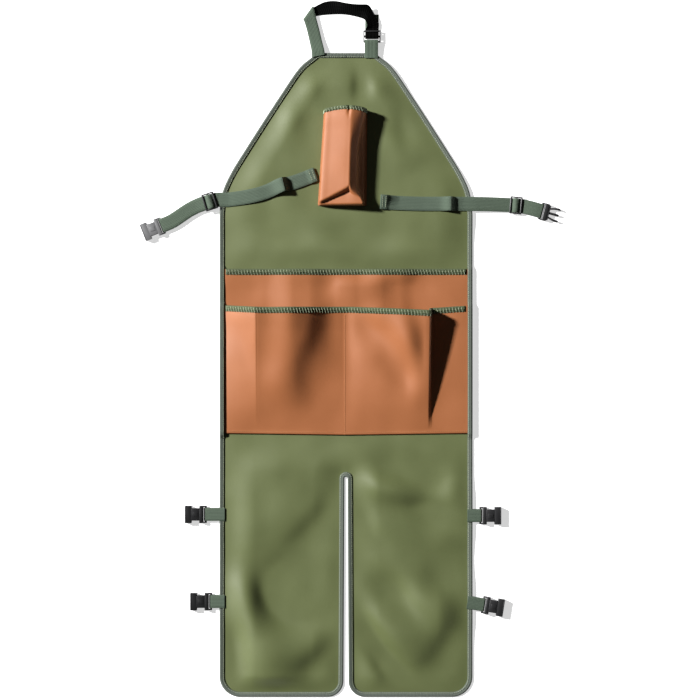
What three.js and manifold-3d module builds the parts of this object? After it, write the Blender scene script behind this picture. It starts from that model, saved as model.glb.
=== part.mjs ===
// A gardening apron with split legs, lying flat on its back, in millimetres.
// X runs across the apron, Y up towards the neck, Z up from the floor to the front of the cloth.
// The origin is on the back of the cloth at the middle of the panel.
import * as THREE from "three";
import { mergeVertices } from "three/addons/utils/BufferGeometryUtils.js";
import Module from "manifold-3d";

const wasm = await Module();
wasm.setup();

// Sizes of the whole apron
const PANEL_LENGTH = 1092;
const PANEL_WIDTH = 428;
const HALF_WIDTH = PANEL_WIDTH / 2;

// Thicknesses of the cloths and the room left between two that are sewn together
const PANEL_CLOTH = 1.2;
const POCKET_CLOTH = 1;
const TAPE = 1;
const WEBBING = 1.5;
const GAP = 0.3;

// Width of the tape over a cloth edge, and how far down it each part of the apron begins, as shares
const TAPE_COVER = 7.7;
const BACK_POCKET_TOP = 0.3356;
const FRONT_POCKET_TOP = 0.3926;
const POCKET_BOTTOM = 0.5903;
const SLIT_TOP = 0.6575;
const SLIT_HALF_TOP = 3.4;
const SLIT_HALF_FOOT = 5.3;
const OUTER_CORNER = 34;
const INNER_CORNER = 26;

// How proud the pockets stand, and the widths of the straps
const FRONT_POCKET_DEPTH = 31;
const FRONT_RIM_DROP = 8;
const BACK_POCKET_DEPTH = 7;
const CHEST_POCKET_DEPTH = 28;
const TRIM_COVER = 9;
const CHEST_TRIM_COVER = 6;
const WAIST_STRAP = 24;
const NECK_STRAP = 23;
const LEG_STRAP = 22;

// How far the neck strap reaches past the top of the bib, and how far the straps go under the cloth
const NECK_REACH = 90;
const STRAP_UNDER = 26;
const NECK_UNDER = 22;
const STRAP_OVER = 9;

// The cloth lies this high under its edges, where the tape is wrapped round it, and over a strap
const EDGE_REST = TAPE + GAP;
const STRAP_REST = WEBBING + 0.7;

// The cloth lies flat this near its edges and straps, and this far on it has its whole folds
const FLAT_EDGE = 14;
const EDGE_EASE = 46;
const STRAP_ROOM = 8;
const STRAP_EASE = 51;

const top = PANEL_LENGTH / 2;
const downTo = (share) => top - share * PANEL_LENGTH;
const smooth = (from, to, value) => THREE.MathUtils.smoothstep(value, from, to);
const fade = (from, to, value) => 1 - smooth(from, to, value);

// A value read from a table of rows between two of its named columns
function lookUp(rows, key, column, value) {
  const last = rows.length - 1;
  if (value <= rows[0][key]) return rows[0][column];
  if (value >= rows[last][key]) return rows[last][column];
  const next = rows.findIndex((row) => row[key] >= value);
  const [a, b] = [rows[next - 1], rows[next]];
  const share = (value - a[key]) / (b[key] - a[key]);
  return a[column] + share * (b[column] - a[column]);
}

// Outline of the bib and sides: how far down, and the half width there
const OUTLINE = [
  { down: 0, half: 0.225 },
  { down: 0.00705, half: 0.266 },
  { down: 0.025, half: 0.377 },
  { down: 0.041, half: 0.425 },
  { down: 0.069, half: 0.54 },
  { down: 0.0875, half: 0.583 },
  { down: 0.111, half: 0.671 },
  { down: 0.154, half: 0.802 },
  { down: 0.181, half: 0.893 },
  { down: 0.206, half: 0.956 },
  { down: 0.2245, half: 0.984 },
  { down: 0.25, half: 1 },
];
const halfWidthAt = (down) => HALF_WIDTH * lookUp(OUTLINE, "down", "half", down);

// Where the straps pass under the edge of the cloth
const STRAP_LEVELS = [0.231, 0.717, 0.854];

function strapRest(edgeDistance, down) {
  const past = (flat, distance) => fade(flat, flat + STRAP_EASE, distance);
  const inward = past(STRAP_UNDER + STRAP_ROOM, edgeDistance);
  const half = WAIST_STRAP / 2 + STRAP_ROOM;
  const sides = STRAP_LEVELS.map((level) => past(half, Math.abs(down - level) * PANEL_LENGTH));
  const neck = past(NECK_UNDER + STRAP_ROOM, down * PANEL_LENGTH);
  return STRAP_REST * Math.max(neck, inward * Math.max(...sides));
}

// Soft folds of the cloth: each is a long low ridge, with its middle, size and turn in degrees
const FOLDS = [
  { across: -0.4, down: 0.125, wide: 0.12, long: 0.17, turn: -38, rise: 12 },
  { across: -0.11, down: 0.055, wide: 0.05, long: 0.1, turn: 4, rise: 5 },
  { across: 0.34, down: 0.075, wide: 0.06, long: 0.1, turn: 14, rise: 6 },
  { across: 0.55, down: 0.18, wide: 0.08, long: 0.16, turn: 28, rise: 6 },
  { across: -0.5, down: 0.28, wide: 0.16, long: 0.1, turn: 70, rise: 4 },
  { across: -0.55, down: 0.68, wide: 0.1, long: 0.16, turn: 62, rise: 12 },
  { across: -0.28, down: 0.79, wide: 0.08, long: 0.22, turn: -20, rise: 8 },
  { across: -0.68, down: 0.79, wide: 0.08, long: 0.18, turn: 34, rise: 9 },
  { across: -0.45, down: 0.925, wide: 0.1, long: 0.18, turn: 24, rise: 11 },
  { across: 0.5, down: 0.672, wide: 0.07, long: 0.2, turn: 78, rise: 11 },
  { across: 0.28, down: 0.77, wide: 0.09, long: 0.2, turn: 28, rise: 9 },
  { across: 0.7, down: 0.83, wide: 0.1, long: 0.2, turn: 36, rise: 11 },
  { across: 0.32, down: 0.92, wide: 0.09, long: 0.2, turn: 38, rise: 10 },
];

function foldRise(x, y) {
  let rise = 0;
  for (const fold of FOLDS) {
    const turn = THREE.MathUtils.degToRad(fold.turn);
    const dx = x - fold.across * HALF_WIDTH;
    const dy = y - downTo(fold.down);
    const side = (dx * Math.cos(turn) + dy * Math.sin(turn)) / (fold.wide * PANEL_WIDTH);
    const length = (dy * Math.cos(turn) - dx * Math.sin(turn)) / (fold.long * PANEL_WIDTH);
    rise += fold.rise * Math.exp(-2 * side * side - 2 * length * length);
  }
  return rise;
}

function slitHalfAt(down) {
  const share = Math.max(0, (down - SLIT_TOP) / (1 - SLIT_TOP));
  return SLIT_HALF_TOP + share * (SLIT_HALF_FOOT - SLIT_HALF_TOP);
}

function edgeDistanceAt(x, down) {
  const side = halfWidthAt(down) - Math.abs(x);
  const foot = (1 - down) * PANEL_LENGTH;
  const slitX = Math.max(0, Math.abs(x) - slitHalfAt(down));
  const slitY = Math.max(0, (SLIT_TOP - down) * PANEL_LENGTH);
  return Math.max(0, Math.min(side, down * PANEL_LENGTH, foot, Math.hypot(slitX, slitY)));
}

// Height of the back of the cloth over the floor: flat under the pockets, folded elsewhere
function panelBack(x, y) {
  const down = (top - y) / PANEL_LENGTH;
  const edge = edgeDistanceAt(x, down);
  const side = halfWidthAt(down) - Math.abs(x);
  const pockets = fade(0.3, 0.345, down) + smooth(0.585, 0.65, down);
  const chest = 1 - fade(0.22, 0.42, Math.abs(x / HALF_WIDTH + 0.02)) * smooth(0.06, 0.088, down);
  const off = smooth(FLAT_EDGE, FLAT_EDGE + EDGE_EASE, edge);
  const inside = off * pockets * (down < 0.3 ? chest : 1);
  return EDGE_REST * (1 - off) + strapRest(side, down) + foldRise(x, y) * inside;
}
const panelFront = (x, y) => panelBack(x, y) + PANEL_CLOTH;

// A cloth of even thickness on a net of points: its back, its front and the rim between them
function clothSolid(points, faces, thickness) {
  const normals = points.map(() => new THREE.Vector3());
  const sides = points.map(() => []);
  const edges = new Map();
  for (const face of faces) {
    const [a, b, c, d] = face.map((index) => points[index]);
    const normal = new THREE.Vector3()
      .subVectors(c, a)
      .cross(new THREE.Vector3().subVectors(d ?? c, b))
      .normalize();
    for (const index of face) {
      normals[index].add(normal);
      sides[index].push(normal);
    }
    face.forEach((from, k) => {
      const to = face[(k + 1) % face.length];
      edges.set(from + "," + to, [from, to]);
    });
  }
  const front = points.map((point, index) => {
    const normal = normals[index].normalize();
    const lean = Math.min(...sides[index].map((side) => side.dot(normal)));
    return point.clone().addScaledVector(normal, thickness / Math.max(lean, 0.7));
  });
  const count = points.length;
  const triangles = [];
  for (const [a, b, c, d] of faces) {
    triangles.push([a, c, b], [a + count, b + count, c + count]);
    if (d !== undefined) triangles.push([a, d, c], [a + count, c + count, d + count]);
  }
  for (const [from, to] of edges.values()) {
    if (edges.has(to + "," + from)) continue;
    triangles.push([from, to, to + count], [from, to + count, from + count]);
  }
  return solidGeometry([...points, ...front], triangles);
}

// Triangles as a closed solid, turned to face outward
function solidGeometry(points, triangles) {
  let volume = 0;
  for (const [a, b, c] of triangles) {
    volume += points[a].dot(new THREE.Vector3().crossVectors(points[b], points[c]));
  }
  const order = volume < 0 ? triangles.map(([a, b, c]) => [a, c, b]) : triangles;
  const geometry = new THREE.BufferGeometry().setFromPoints(points);
  geometry.setIndex(order.flat());
  return geometry;
}

// A row by row net of points as faces, seen from the front
function netFaces(rowCount, columnCount) {
  const faces = [];
  for (let row = 0; row < rowCount - 1; row += 1) {
    for (let column = 0; column < columnCount - 1; column += 1) {
      const corner = row * columnCount + column;
      faces.push([corner, corner + columnCount, corner + columnCount + 1, corner + 1]);
    }
  }
  return faces;
}

function netNormals(rows) {
  return rows.map((row, r) =>
    row.map((_, c) => {
      const above = rows[Math.max(r - 1, 0)][c];
      const below = rows[Math.min(r + 1, rows.length - 1)][c];
      const left = row[Math.max(c - 1, 0)];
      const right = row[Math.min(c + 1, row.length - 1)];
      const across = new THREE.Vector3().subVectors(right, left);
      return across.cross(new THREE.Vector3().subVectors(above, below)).normalize();
    }),
  );
}

// Sections of equal count joined along their length, with the ends closed or joined
function sweep(sections, closed) {
  const size = sections[0].length;
  const triangles = [];
  const last = closed ? sections.length : sections.length - 1;
  for (let s = 0; s < last; s += 1) {
    const here = s * size;
    const there = ((s + 1) % sections.length) * size;
    for (let k = 0; k < size; k += 1) {
      const next = (k + 1) % size;
      triangles.push([here + k, here + next, there + next], [here + k, there + next, there + k]);
    }
  }
  if (!closed) {
    for (const [start, flip] of [
      [0, true],
      [(sections.length - 1) * size, false],
    ]) {
      for (const [a, b, c] of endFaces(size)) {
        triangles.push(flip ? [start + a, start + c, start + b] : [start + a, start + b, start + c]);
      }
    }
  }
  return solidGeometry(sections.flat(), triangles);
}

// End caps of a flat section of four corners, or of a channel of eight
function endFaces(size) {
  if (size === 4) {
    return [
      [0, 1, 2],
      [0, 2, 3],
    ];
  }
  return [
    [0, 1, 2],
    [0, 2, 7],
    [7, 2, 3],
    [7, 3, 6],
    [6, 3, 4],
    [6, 4, 5],
  ];
}

// Tape folded over a cloth edge: two legs and the fold that joins them
function channelSection({ edge, inner, edgeUp, innerUp, outward, stack }) {
  const reach = (point, up, height) => point.clone().addScaledVector(up, height);
  const past = (point, distance) => point.clone().addScaledVector(outward, distance);
  return [
    reach(inner, innerUp, -GAP - TAPE),
    reach(inner, innerUp, -GAP),
    past(reach(edge, edgeUp, -GAP), GAP),
    past(reach(edge, edgeUp, stack + GAP), GAP),
    reach(inner, innerUp, stack + GAP),
    reach(inner, innerUp, stack + GAP + TAPE),
    past(reach(edge, edgeUp, stack + GAP + TAPE), GAP + TAPE),
    past(reach(edge, edgeUp, -GAP - TAPE), GAP + TAPE),
  ];
}

// A flat strap whose two edges run through matching points, its thickness laid towards the normal
function strapSolid(lefts, rights, thickness) {
  const sections = lefts.map((left, k) => {
    const right = rights[k];
    const before = Math.max(k - 1, 0);
    const after = Math.min(k + 1, lefts.length - 1);
    const ahead = new THREE.Vector3()
      .addVectors(lefts[after], rights[after])
      .sub(lefts[before])
      .sub(rights[before]);
    const across = new THREE.Vector3().subVectors(right, left);
    const up = across.cross(ahead).normalize().multiplyScalar(thickness / 2);
    return [
      left.clone().sub(up),
      right.clone().sub(up),
      right.clone().add(up),
      left.clone().add(up),
    ];
  });
  return sweep(sections, false);
}

// A strap along a plan line, with its height given at distances along that line
function strapAlong(line, profile, width) {
  const lefts = [];
  const rights = [];
  for (const { along, height } of profile) {
    const { point, direction } = line(along);
    const side = new THREE.Vector3(-direction.y, direction.x, 0).multiplyScalar(width / 2);
    const middle = new THREE.Vector3(point.x, point.y, height);
    lefts.push(middle.clone().add(side));
    rights.push(middle.clone().sub(side));
  }
  return strapSolid(lefts, rights, WEBBING);
}

// A straight plan line from a point, and a smooth one through several
function straightLine(x, y, turn) {
  const angle = THREE.MathUtils.degToRad(turn);
  const direction = new THREE.Vector2(Math.cos(angle), Math.sin(angle));
  return (along) => ({
    point: new THREE.Vector2(x, y).addScaledVector(direction, along),
    direction,
  });
}

function smoothLine(rows) {
  const corners = rows.map(({ x, y }) => new THREE.Vector3(x, y, 0));
  const curve = new THREE.CatmullRomCurve3(corners, false, "centripetal");
  curve.arcLengthDivisions = 400;
  const length = curve.getLength();
  const line = (along) => {
    const share = Math.min(Math.max(along / length, 0), 1);
    const over = along - share * length;
    const tangent = curve.getTangentAt(share);
    const point = curve.getPointAt(share).addScaledVector(tangent, over);
    return {
      point: new THREE.Vector2(point.x, point.y),
      direction: new THREE.Vector2(tangent.x, tangent.y).normalize(),
    };
  };
  return { line, length };
}

// Points of a turn in a strap's profile, by angles in degrees round a middle
function turnRound(along, height, radius, from, to, steps) {
  return Array.from({ length: steps + 1 }, (_, k) => {
    const angle = THREE.MathUtils.degToRad(from + ((to - from) * k) / steps);
    return { along: along + radius * Math.cos(angle), height: height + radius * Math.sin(angle) };
  });
}

// Solids cut from and joined to each other
function solidOf(geometry) {
  const bare = geometry.clone();
  bare.deleteAttribute("normal");
  bare.deleteAttribute("uv");
  const merged = mergeVertices(bare.index ? bare.toNonIndexed() : bare, 1e-4);
  return new wasm.Manifold(
    new wasm.Mesh({
      numProp: 3,
      vertProperties: merged.attributes.position.array,
      triVerts: new Uint32Array(merged.index.array),
    }),
  );
}

function geometryOf(solid) {
  const mesh = solid.getMesh();
  const geometry = new THREE.BufferGeometry();
  geometry.setAttribute("position", new THREE.BufferAttribute(mesh.vertProperties, 3));
  geometry.setIndex(new THREE.BufferAttribute(mesh.triVerts, 1));
  return geometry;
}

function joined(geometries) {
  return geometries.map(solidOf).reduce((whole, piece) => whole.add(piece));
}

function cutFrom(solid, geometries) {
  return geometries.map(solidOf).reduce((rest, piece) => rest.subtract(piece), solid);
}

// A box between two corners
function block(fromX, toX, fromY, toY, fromZ, toZ) {
  return new THREE.BoxGeometry(toX - fromX, toY - fromY, toZ - fromZ).translate(
    (fromX + toX) / 2,
    (fromY + toY) / 2,
    (fromZ + toZ) / 2,
  );
}

function placed(geometry, x, y, z, turn) {
  return geometry.clone().rotateZ(THREE.MathUtils.degToRad(turn)).translate(x, y, z);
}

// The panel, one cloth with its legs parted by a slit
const RING_SHARES = [0, 0.04, 0.16, 0.32, 0.48, 0.64, 0.78, 0.91, 1];
const PANEL_ROWS = [
  0, 0.00705, 0.025, 0.041, 0.069, 0.0875, 0.111, 0.133, 0.154, 0.181, 0.206, 0.2155, 0.2465, 0.275,
  0.3, 0.322, 0.334, 0.362, 0.379, 0.39, 0.425, 0.475, 0.525, 0.565, 0.592, 0.603, 0.63,
  SLIT_TOP, SLIT_TOP + 1 / PANEL_LENGTH, SLIT_TOP + SLIT_HALF_TOP / PANEL_LENGTH,
  0.68, 0.7015, 0.7325, 0.76, 0.787, 0.815, 0.8385, 0.8695, 0.9, 0.93, 0.9643, 0.9786, 0.99295, 1,
];
const SLIT_ROW = PANEL_ROWS.indexOf(SLIT_TOP);

// A point near a square corner moved onto a round one, by its distances from both edges
function roundedCorner(a, b, radius) {
  const depth = Math.min(a, b);
  const arc = radius - depth;
  const along = Math.max(a, b) - depth;
  if (arc <= 0 || along >= arc) return [a, b];
  const angle = (Math.PI / 4) * (1 + along / arc);
  const far = radius - arc * Math.cos(angle);
  const near = radius - arc * Math.sin(angle);
  return a >= b ? [far, near] : [near, far];
}

function slitEdgeAt(row) {
  const down = PANEL_ROWS[row];
  if (row <= SLIT_ROW) return 0;
  if (row === SLIT_ROW + 1) return SLIT_HALF_TOP * Math.SQRT1_2;
  return slitHalfAt(down);
}

function panelRow(row) {
  const down = PANEL_ROWS[row];
  const half = halfWidthAt(down);
  const step = 0.002;
  const wider = halfWidthAt(down + step) - halfWidthAt(Math.max(down - step, 0));
  const slope = wider / (2 * step * PANEL_LENGTH);
  const ring = TAPE_COVER * Math.hypot(1, slope);
  const inner = slitEdgeAt(row);
  const columns = RING_SHARES.map((share) => inner + share * (half - ring - inner));
  columns.push(half);
  return columns.map((x) => {
    const foot = (1 - down) * PANEL_LENGTH;
    const [fromSide, footA] = roundedCorner(half - x, foot, OUTER_CORNER);
    if (down > 0.9 && x < half / 2) {
      const [fromSlit, footB] = roundedCorner(x - inner, foot, INNER_CORNER);
      return new THREE.Vector2(inner + fromSlit, -top + footB);
    }
    return new THREE.Vector2(half - fromSide, -top + footA);
  });
}

const panelNet = PANEL_ROWS.map((_, row) => panelRow(row));

function panelPoint(side, row, column) {
  const { x, y } = panelNet[row][column];
  return new THREE.Vector3(side * x, y, panelBack(side * x, y));
}

function panelGeometry() {
  const columnCount = RING_SHARES.length + 1;
  const points = [];
  const indexOf = {};
  for (const side of [-1, 1]) {
    panelNet.forEach((columns, row) => {
      columns.forEach((_, column) => {
        const key = (column === 0 && row <= SLIT_ROW ? 0 : side) + "," + row + "," + column;
        if (indexOf[key] === undefined) {
          indexOf[key] = points.length;
          points.push(panelPoint(side, row, column));
        }
        indexOf[side + "," + row + "," + column] = indexOf[key];
      });
    });
  }
  const faces = [];
  for (const side of [-1, 1]) {
    for (let row = 0; row < PANEL_ROWS.length - 1; row += 1) {
      for (let column = 0; column < columnCount - 1; column += 1) {
        const near = (r, c) => indexOf[side + "," + r + "," + c];
        const face = [
          near(row, column),
          near(row + 1, column),
          near(row + 1, column + 1),
          near(row, column + 1),
        ];
        faces.push(side > 0 ? face : face.reverse());
      }
    }
  }
  return clothSolid(points, faces, PANEL_CLOTH);
}

// Room under a pocket's rim for the tape folded behind it, closed again a little below the tape
const TRIM_EASE = 28;
const PAST_TRIM = TRIM_COVER + 3;
const trimRoom = (below) => GAP + (TAPE + GAP) * fade(PAST_TRIM, PAST_TRIM + TRIM_EASE, below);

// The back pocket: bulged a little in each half, flat at its edges and at the middle seam
function backPocketBack(x, y) {
  const share = Math.abs(x) / HALF_WIDTH;
  const below = downTo(BACK_POCKET_TOP) - y;
  const length = (POCKET_BOTTOM - BACK_POCKET_TOP) * PANEL_LENGTH;
  const bulge = smooth(0.08, 0.3, share) * fade(0.42, 0.64, share) * fade(0.22, 0.68, below / length);
  return panelFront(x, y) + trimRoom(below) + BACK_POCKET_DEPTH * bulge;
}
const backPocketFront = (x, y) => backPocketBack(x, y) + POCKET_CLOTH;

const POCKET_EDGE = HALF_WIDTH - 1;
const FOOT_SAG = 3;
const TAPE_INNER = HALF_WIDTH - TAPE_COVER - 4 * GAP;

function backPocketNet() {
  const length = (POCKET_BOTTOM - BACK_POCKET_TOP) * PANEL_LENGTH;
  const rows = [0, TRIM_COVER / length, 0.15, 0.27, 0.42, 0.58, 0.75, 0.9, 1];
  const shares = [0.09, 0.2, 0.32, 0.47, 0.62, 0.74, 0.85].map((share) => share * HALF_WIDTH);
  const half = [...shares, TAPE_INNER, POCKET_EDGE];
  const columns = [...half.map((x) => -x).reverse(), 0, ...half];
  return rows.map((row) =>
    columns.map((x) => {
      const y = downTo(BACK_POCKET_TOP) - row * (length + FOOT_SAG * (1 - Math.abs(x) / HALF_WIDTH));
      return new THREE.Vector3(x, y, backPocketBack(x, y));
    }),
  );
}

// The front pocket across its rim: where, how proud it stands, and how far the rim drops there
const FRONT_RIM = [
  { across: -POCKET_EDGE / HALF_WIDTH, rise: 0, drop: 0 },
  { across: -TAPE_INNER / HALF_WIDTH, rise: 0, drop: 0 },
  { across: -0.93, rise: 0.1, drop: 0 },
  { across: -0.83, rise: 0.55, drop: 0.16 },
  { across: -0.725, rise: 0.97, drop: 0.32 },
  { across: -0.7, rise: 1, drop: 0.35 },
  { across: -0.66, rise: 0.97, drop: 0.38 },
  { across: -0.52, rise: 0.82, drop: 0.38 },
  { across: -0.39, rise: 0.62, drop: 0.35 },
  { across: -0.27, rise: 0.36, drop: 0.32 },
  { across: -0.16, rise: 0.14, drop: 0.3 },
  { across: -0.06, rise: 0.02, drop: 0.27 },
  { across: -0.01, rise: 0, drop: 0.27 },
  { across: 0.04, rise: 0.04, drop: 0.27 },
  { across: 0.14, rise: 0.28, drop: 0.38 },
  { across: 0.28, rise: 0.54, drop: 0.54 },
  { across: 0.44, rise: 0.78, drop: 0.76 },
  { across: 0.58, rise: 0.95, drop: 0.92 },
  { across: 0.64, rise: 1, drop: 1 },
  { across: 0.652, rise: 0.94, tuck: -0.012, drop: 1 },
  { across: 0.664, rise: 0.6, tuck: -0.002, drop: 0.81 },
  { across: 0.676, rise: 0.28, tuck: 0.014, drop: 0.65 },
  { across: 0.69, rise: 0.03, tuck: 0.012, drop: 0.54 },
  { across: 0.75, rise: 0, drop: 0.43 },
  { across: 0.86, rise: 0, drop: 0.22 },
  { across: TAPE_INNER / HALF_WIDTH, rise: 0, drop: 0.08 },
  { across: POCKET_EDGE / HALF_WIDTH, rise: 0, drop: 0.08 },
];

// How much of the rim's height is left further down the front pocket
const FRONT_FALL = [
  { down: 0, left: 1 },
  { down: 0.045, left: 0.985 },
  { down: 0.16, left: 0.9 },
  { down: 0.32, left: 0.74 },
  { down: 0.48, left: 0.56 },
  { down: 0.64, left: 0.38 },
  { down: 0.79, left: 0.2 },
  { down: 0.9, left: 0.07 },
  { down: 0.97, left: 0 },
  { down: 1, left: 0 },
];

function frontPocketNet() {
  const rimY = downTo(FRONT_POCKET_TOP);
  const foot = downTo(POCKET_BOTTOM);
  return FRONT_FALL.map(({ down, left }) =>
    FRONT_RIM.map(({ across, rise, drop, tuck = 0 }) => {
      const x = (across - tuck * left) * HALF_WIDTH;
      const start = rimY - drop * FRONT_RIM_DROP;
      const end = foot - FOOT_SAG * (1 - Math.abs(across));
      const y = start + down * (end - start);
      const rest = backPocketFront(x, y) + trimRoom(down * (start - end));
      return new THREE.Vector3(x, y, rest + rise * left * FRONT_POCKET_DEPTH);
    }),
  );
}

// Tape folded over the top edge of a pocket, between two columns of its net
function rimTape(net, thickness, from, to, reach) {
  const normals = netNormals(net);
  const sections = [];
  for (let column = from; column <= to; column += 1) {
    const edge = net[0][column];
    const below = net[1][column];
    const length = edge.distanceTo(below);
    const inner = edge.clone().lerp(below, Math.min(reach / length, 1));
    const before = new THREE.Vector3().subVectors(edge, net[0][column - 1] ?? net[0][column + 1]);
    const after = new THREE.Vector3().subVectors(net[0][column + 1] ?? net[0][column - 1], edge);
    const turn = before.angleTo(after) < Math.PI * 0.9 ? before.angleTo(after) : 0;
    const up = normals[0][column].clone().divideScalar(Math.max(Math.cos(turn / 2), 0.66));
    sections.push(
      channelSection({
        edge,
        inner,
        edgeUp: up,
        innerUp: up,
        outward: new THREE.Vector3().subVectors(edge, below).normalize(),
        stack: thickness,
      }),
    );
  }
  return sweep(sections, false);
}

// The chest pocket: a pouch sewn on at its sides and foot, leaning a little, open at the top
const CHEST = {
  x: -3.2,
  top: 0.0895,
  bottom: 0.2368,
  tilt: -2.1,
  topHalf: 36.5,
  bottomHalf: 41,
  arch: 5,
};

// Across the pouch: seam, gusset, bulged face, and the gusset tucked under on its right
const CHEST_ACROSS = [
  { across: -1, rise: 0 },
  { across: -0.92, rise: 0.05 },
  { across: -0.86, rise: 0.32 },
  { across: -0.72, rise: 0.6 },
  { across: -0.5, rise: 0.82 },
  { across: -0.2, rise: 0.96 },
  { across: 0.1, rise: 1 },
  { across: 0.4, rise: 0.99 },
  { across: 0.7, rise: 0.93 },
  { across: 0.86, rise: 0.82, tuck: -0.05 },
  { across: 0.91, rise: 0.62, tuck: -0.07 },
  { across: 0.93, rise: 0.35, tuck: -0.04 },
  { across: 0.95, rise: 0.1, tuck: 0.05 },
  { across: 0.97, rise: 0.01, tuck: 0.03 },
  { across: 1, rise: 0 },
];

const CHEST_FALL = [
  { down: 0, left: 0.96 },
  { down: 0.045, left: 0.98 },
  { down: 0.2, left: 1 },
  { down: 0.4, left: 1 },
  { down: 0.6, left: 0.97 },
  { down: 0.74, left: 0.92 },
  { down: 0.84, left: 0.8 },
  { down: 0.91, left: 0.6 },
  { down: 0.95, left: 0.36 },
  { down: 0.975, left: 0.08 },
  { down: 1, left: 0 },
];

function chestPocketNet() {
  const start = downTo(CHEST.top);
  const length = (CHEST.bottom - CHEST.top) * PANEL_LENGTH;
  const lean = Math.tan(THREE.MathUtils.degToRad(CHEST.tilt));
  return CHEST_FALL.map(({ down, left }) =>
    CHEST_ACROSS.map(({ across, rise, tuck = 0 }) => {
      const half = CHEST.topHalf + down * (CHEST.bottomHalf - CHEST.topHalf);
      const arch = CHEST.arch * (1 - across * across) * (1 - down);
      const x = CHEST.x + lean * (down - 0.5) * length + (across - tuck * left) * half;
      const y = start + arch - down * (length + arch);
      const rest = panelFront(x, y) + trimRoom(down * length);
      return new THREE.Vector3(x, y, rest + rise * left * CHEST_POCKET_DEPTH);
    }),
  );
}

// The tape round the whole panel: out to the right, down, round both legs and back up the left
function bindingStations() {
  const outer = RING_SHARES.length;
  const foot = PANEL_ROWS.length - 1;
  const stations = [];
  const add = (side, row, column, innerRow, innerColumn) => {
    stations.push({ edge: panelPoint(side, row, column), inner: panelPoint(side, innerRow, innerColumn) });
  };
  const half = (side) => {
    for (let column = 1; column < outer; column += 1) add(side, 0, column, 1, column);
    add(side, 0, outer, 1, outer - 1);
    for (let row = 1; row < foot; row += 1) add(side, row, outer, row, outer - 1);
    add(side, foot, outer, foot - 1, outer - 1);
    for (let column = outer - 1; column > 0; column -= 1) add(side, foot, column, foot - 1, column);
    add(side, foot, 0, foot - 1, 1);
    for (let row = foot - 1; row > SLIT_ROW + 1; row -= 1) add(side, row, 0, row, 1);
  };
  add(1, 0, 0, 1, 0);
  half(1);
  const middleY = downTo(SLIT_TOP) - SLIT_HALF_TOP;
  for (const degrees of [45, 90, 135]) {
    const angle = THREE.MathUtils.degToRad(degrees);
    const round = (radius) => {
      const x = radius * Math.cos(angle);
      const y = middleY + radius * Math.sin(angle);
      return new THREE.Vector3(x, y, panelBack(x, y));
    };
    stations.push({ edge: round(SLIT_HALF_TOP), inner: round(SLIT_HALF_TOP + TAPE_COVER) });
  }
  const right = stations.length;
  half(-1);
  const left = stations.splice(right).reverse();
  return [...stations, ...left];
}

// Cloths held under the tape at this height: the panel, and the pockets where they are sewn in,
// with a margin, as a share, past their top and foot
const SIDE_MARGIN = 0.005;

function stackAt(point) {
  const down = (top - point.y) / PANEL_LENGTH;
  const onSide = Math.abs(Math.abs(point.x) - HALF_WIDTH) < 1;
  if (!onSide || down < BACK_POCKET_TOP - SIDE_MARGIN) return PANEL_CLOTH;
  if (down > POCKET_BOTTOM + SIDE_MARGIN) return PANEL_CLOTH;
  const x = POCKET_EDGE;
  const reach = 16;
  const heights = [-reach, 0, reach].map((shift) => {
    const y = point.y + shift;
    const share = (top - y) / PANEL_LENGTH;
    const base = panelFront(x, y) - PANEL_CLOTH;
    if (share > FRONT_POCKET_TOP - 0.002) {
      return backPocketFront(x, y) + trimRoom(downTo(FRONT_POCKET_TOP) - y) + POCKET_CLOTH - base;
    }
    return backPocketFront(x, Math.min(y, downTo(BACK_POCKET_TOP))) - base;
  });
  return Math.max(...heights);
}

function bindingGeometry() {
  const up = new THREE.Vector3(0, 0, 1);
  const sections = bindingStations().map(({ edge, inner }) => {
    const outward = new THREE.Vector3().subVectors(edge, inner).setZ(0).normalize();
    const stack = stackAt(edge);
    return channelSection({ edge, inner, edgeUp: up, innerUp: up, outward, stack });
  });
  return sweep(sections, true);
}

// Side release buckle and strap slider, both with the bar that the webbing goes round at X = 0
const BUCKLE_WIDTH = 29.6;
const BUCKLE_LENGTH = 37;
const BAR = 3.4;
const BAR_HEIGHT = WEBBING / 2 + BAR / 2 + GAP + WEBBING / 2;
const LOOP_RADIUS = BAR / 2 + GAP + WEBBING / 2;
const SLIDER_LENGTH = 21;
const SLIDER_WIDTH = 29.6;
const SLIDER_THICKNESS = 2.6;
const SLIDER_END = SLIDER_LENGTH / 2;

// The slots of the slider, from its middle, and where the webbing passes the bars beside them
const SLOT = { from: 1.8, to: 7.5 };
const SLOT_NEAR = SLOT.from + 0.6;
const SLOT_FAR = SLOT.to - 0.6;

// The part that the straps clip into: bar and slot, open waist, and a closed mouth
function socketGeometry() {
  const half = BUCKLE_WIDTH / 2;
  const end = BUCKLE_LENGTH - BAR / 2;
  const low = 0.3;
  const high = 9.3;
  const barLow = BAR_HEIGHT - BAR / 2;
  const barHigh = BAR_HEIGHT + BAR / 2;
  const whole = joined([
    new THREE.CylinderGeometry(BAR / 2, BAR / 2, BUCKLE_WIDTH, 12).translate(0, 0, BAR_HEIGHT),
    block(-BAR / 2, 9, -half, -half + 2.4, barLow, barHigh),
    block(-BAR / 2, 9, half - 2.4, half, barLow, barHigh),
    block(6.5, 11, -half, half, low, high),
    block(10, 25, -10.4, 10.4, low, high),
    block(24, end, -half, half, low, high),
  ]);
  const hollow = [
    block(11, 25, -12, 12, low + 1.6, high - 1.6),
    block(24, end + 1, -half + 1.8, half - 1.8, low + 1.6, high - 1.6),
  ];
  return geometryOf(cutFrom(whole, hollow));
}

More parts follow.
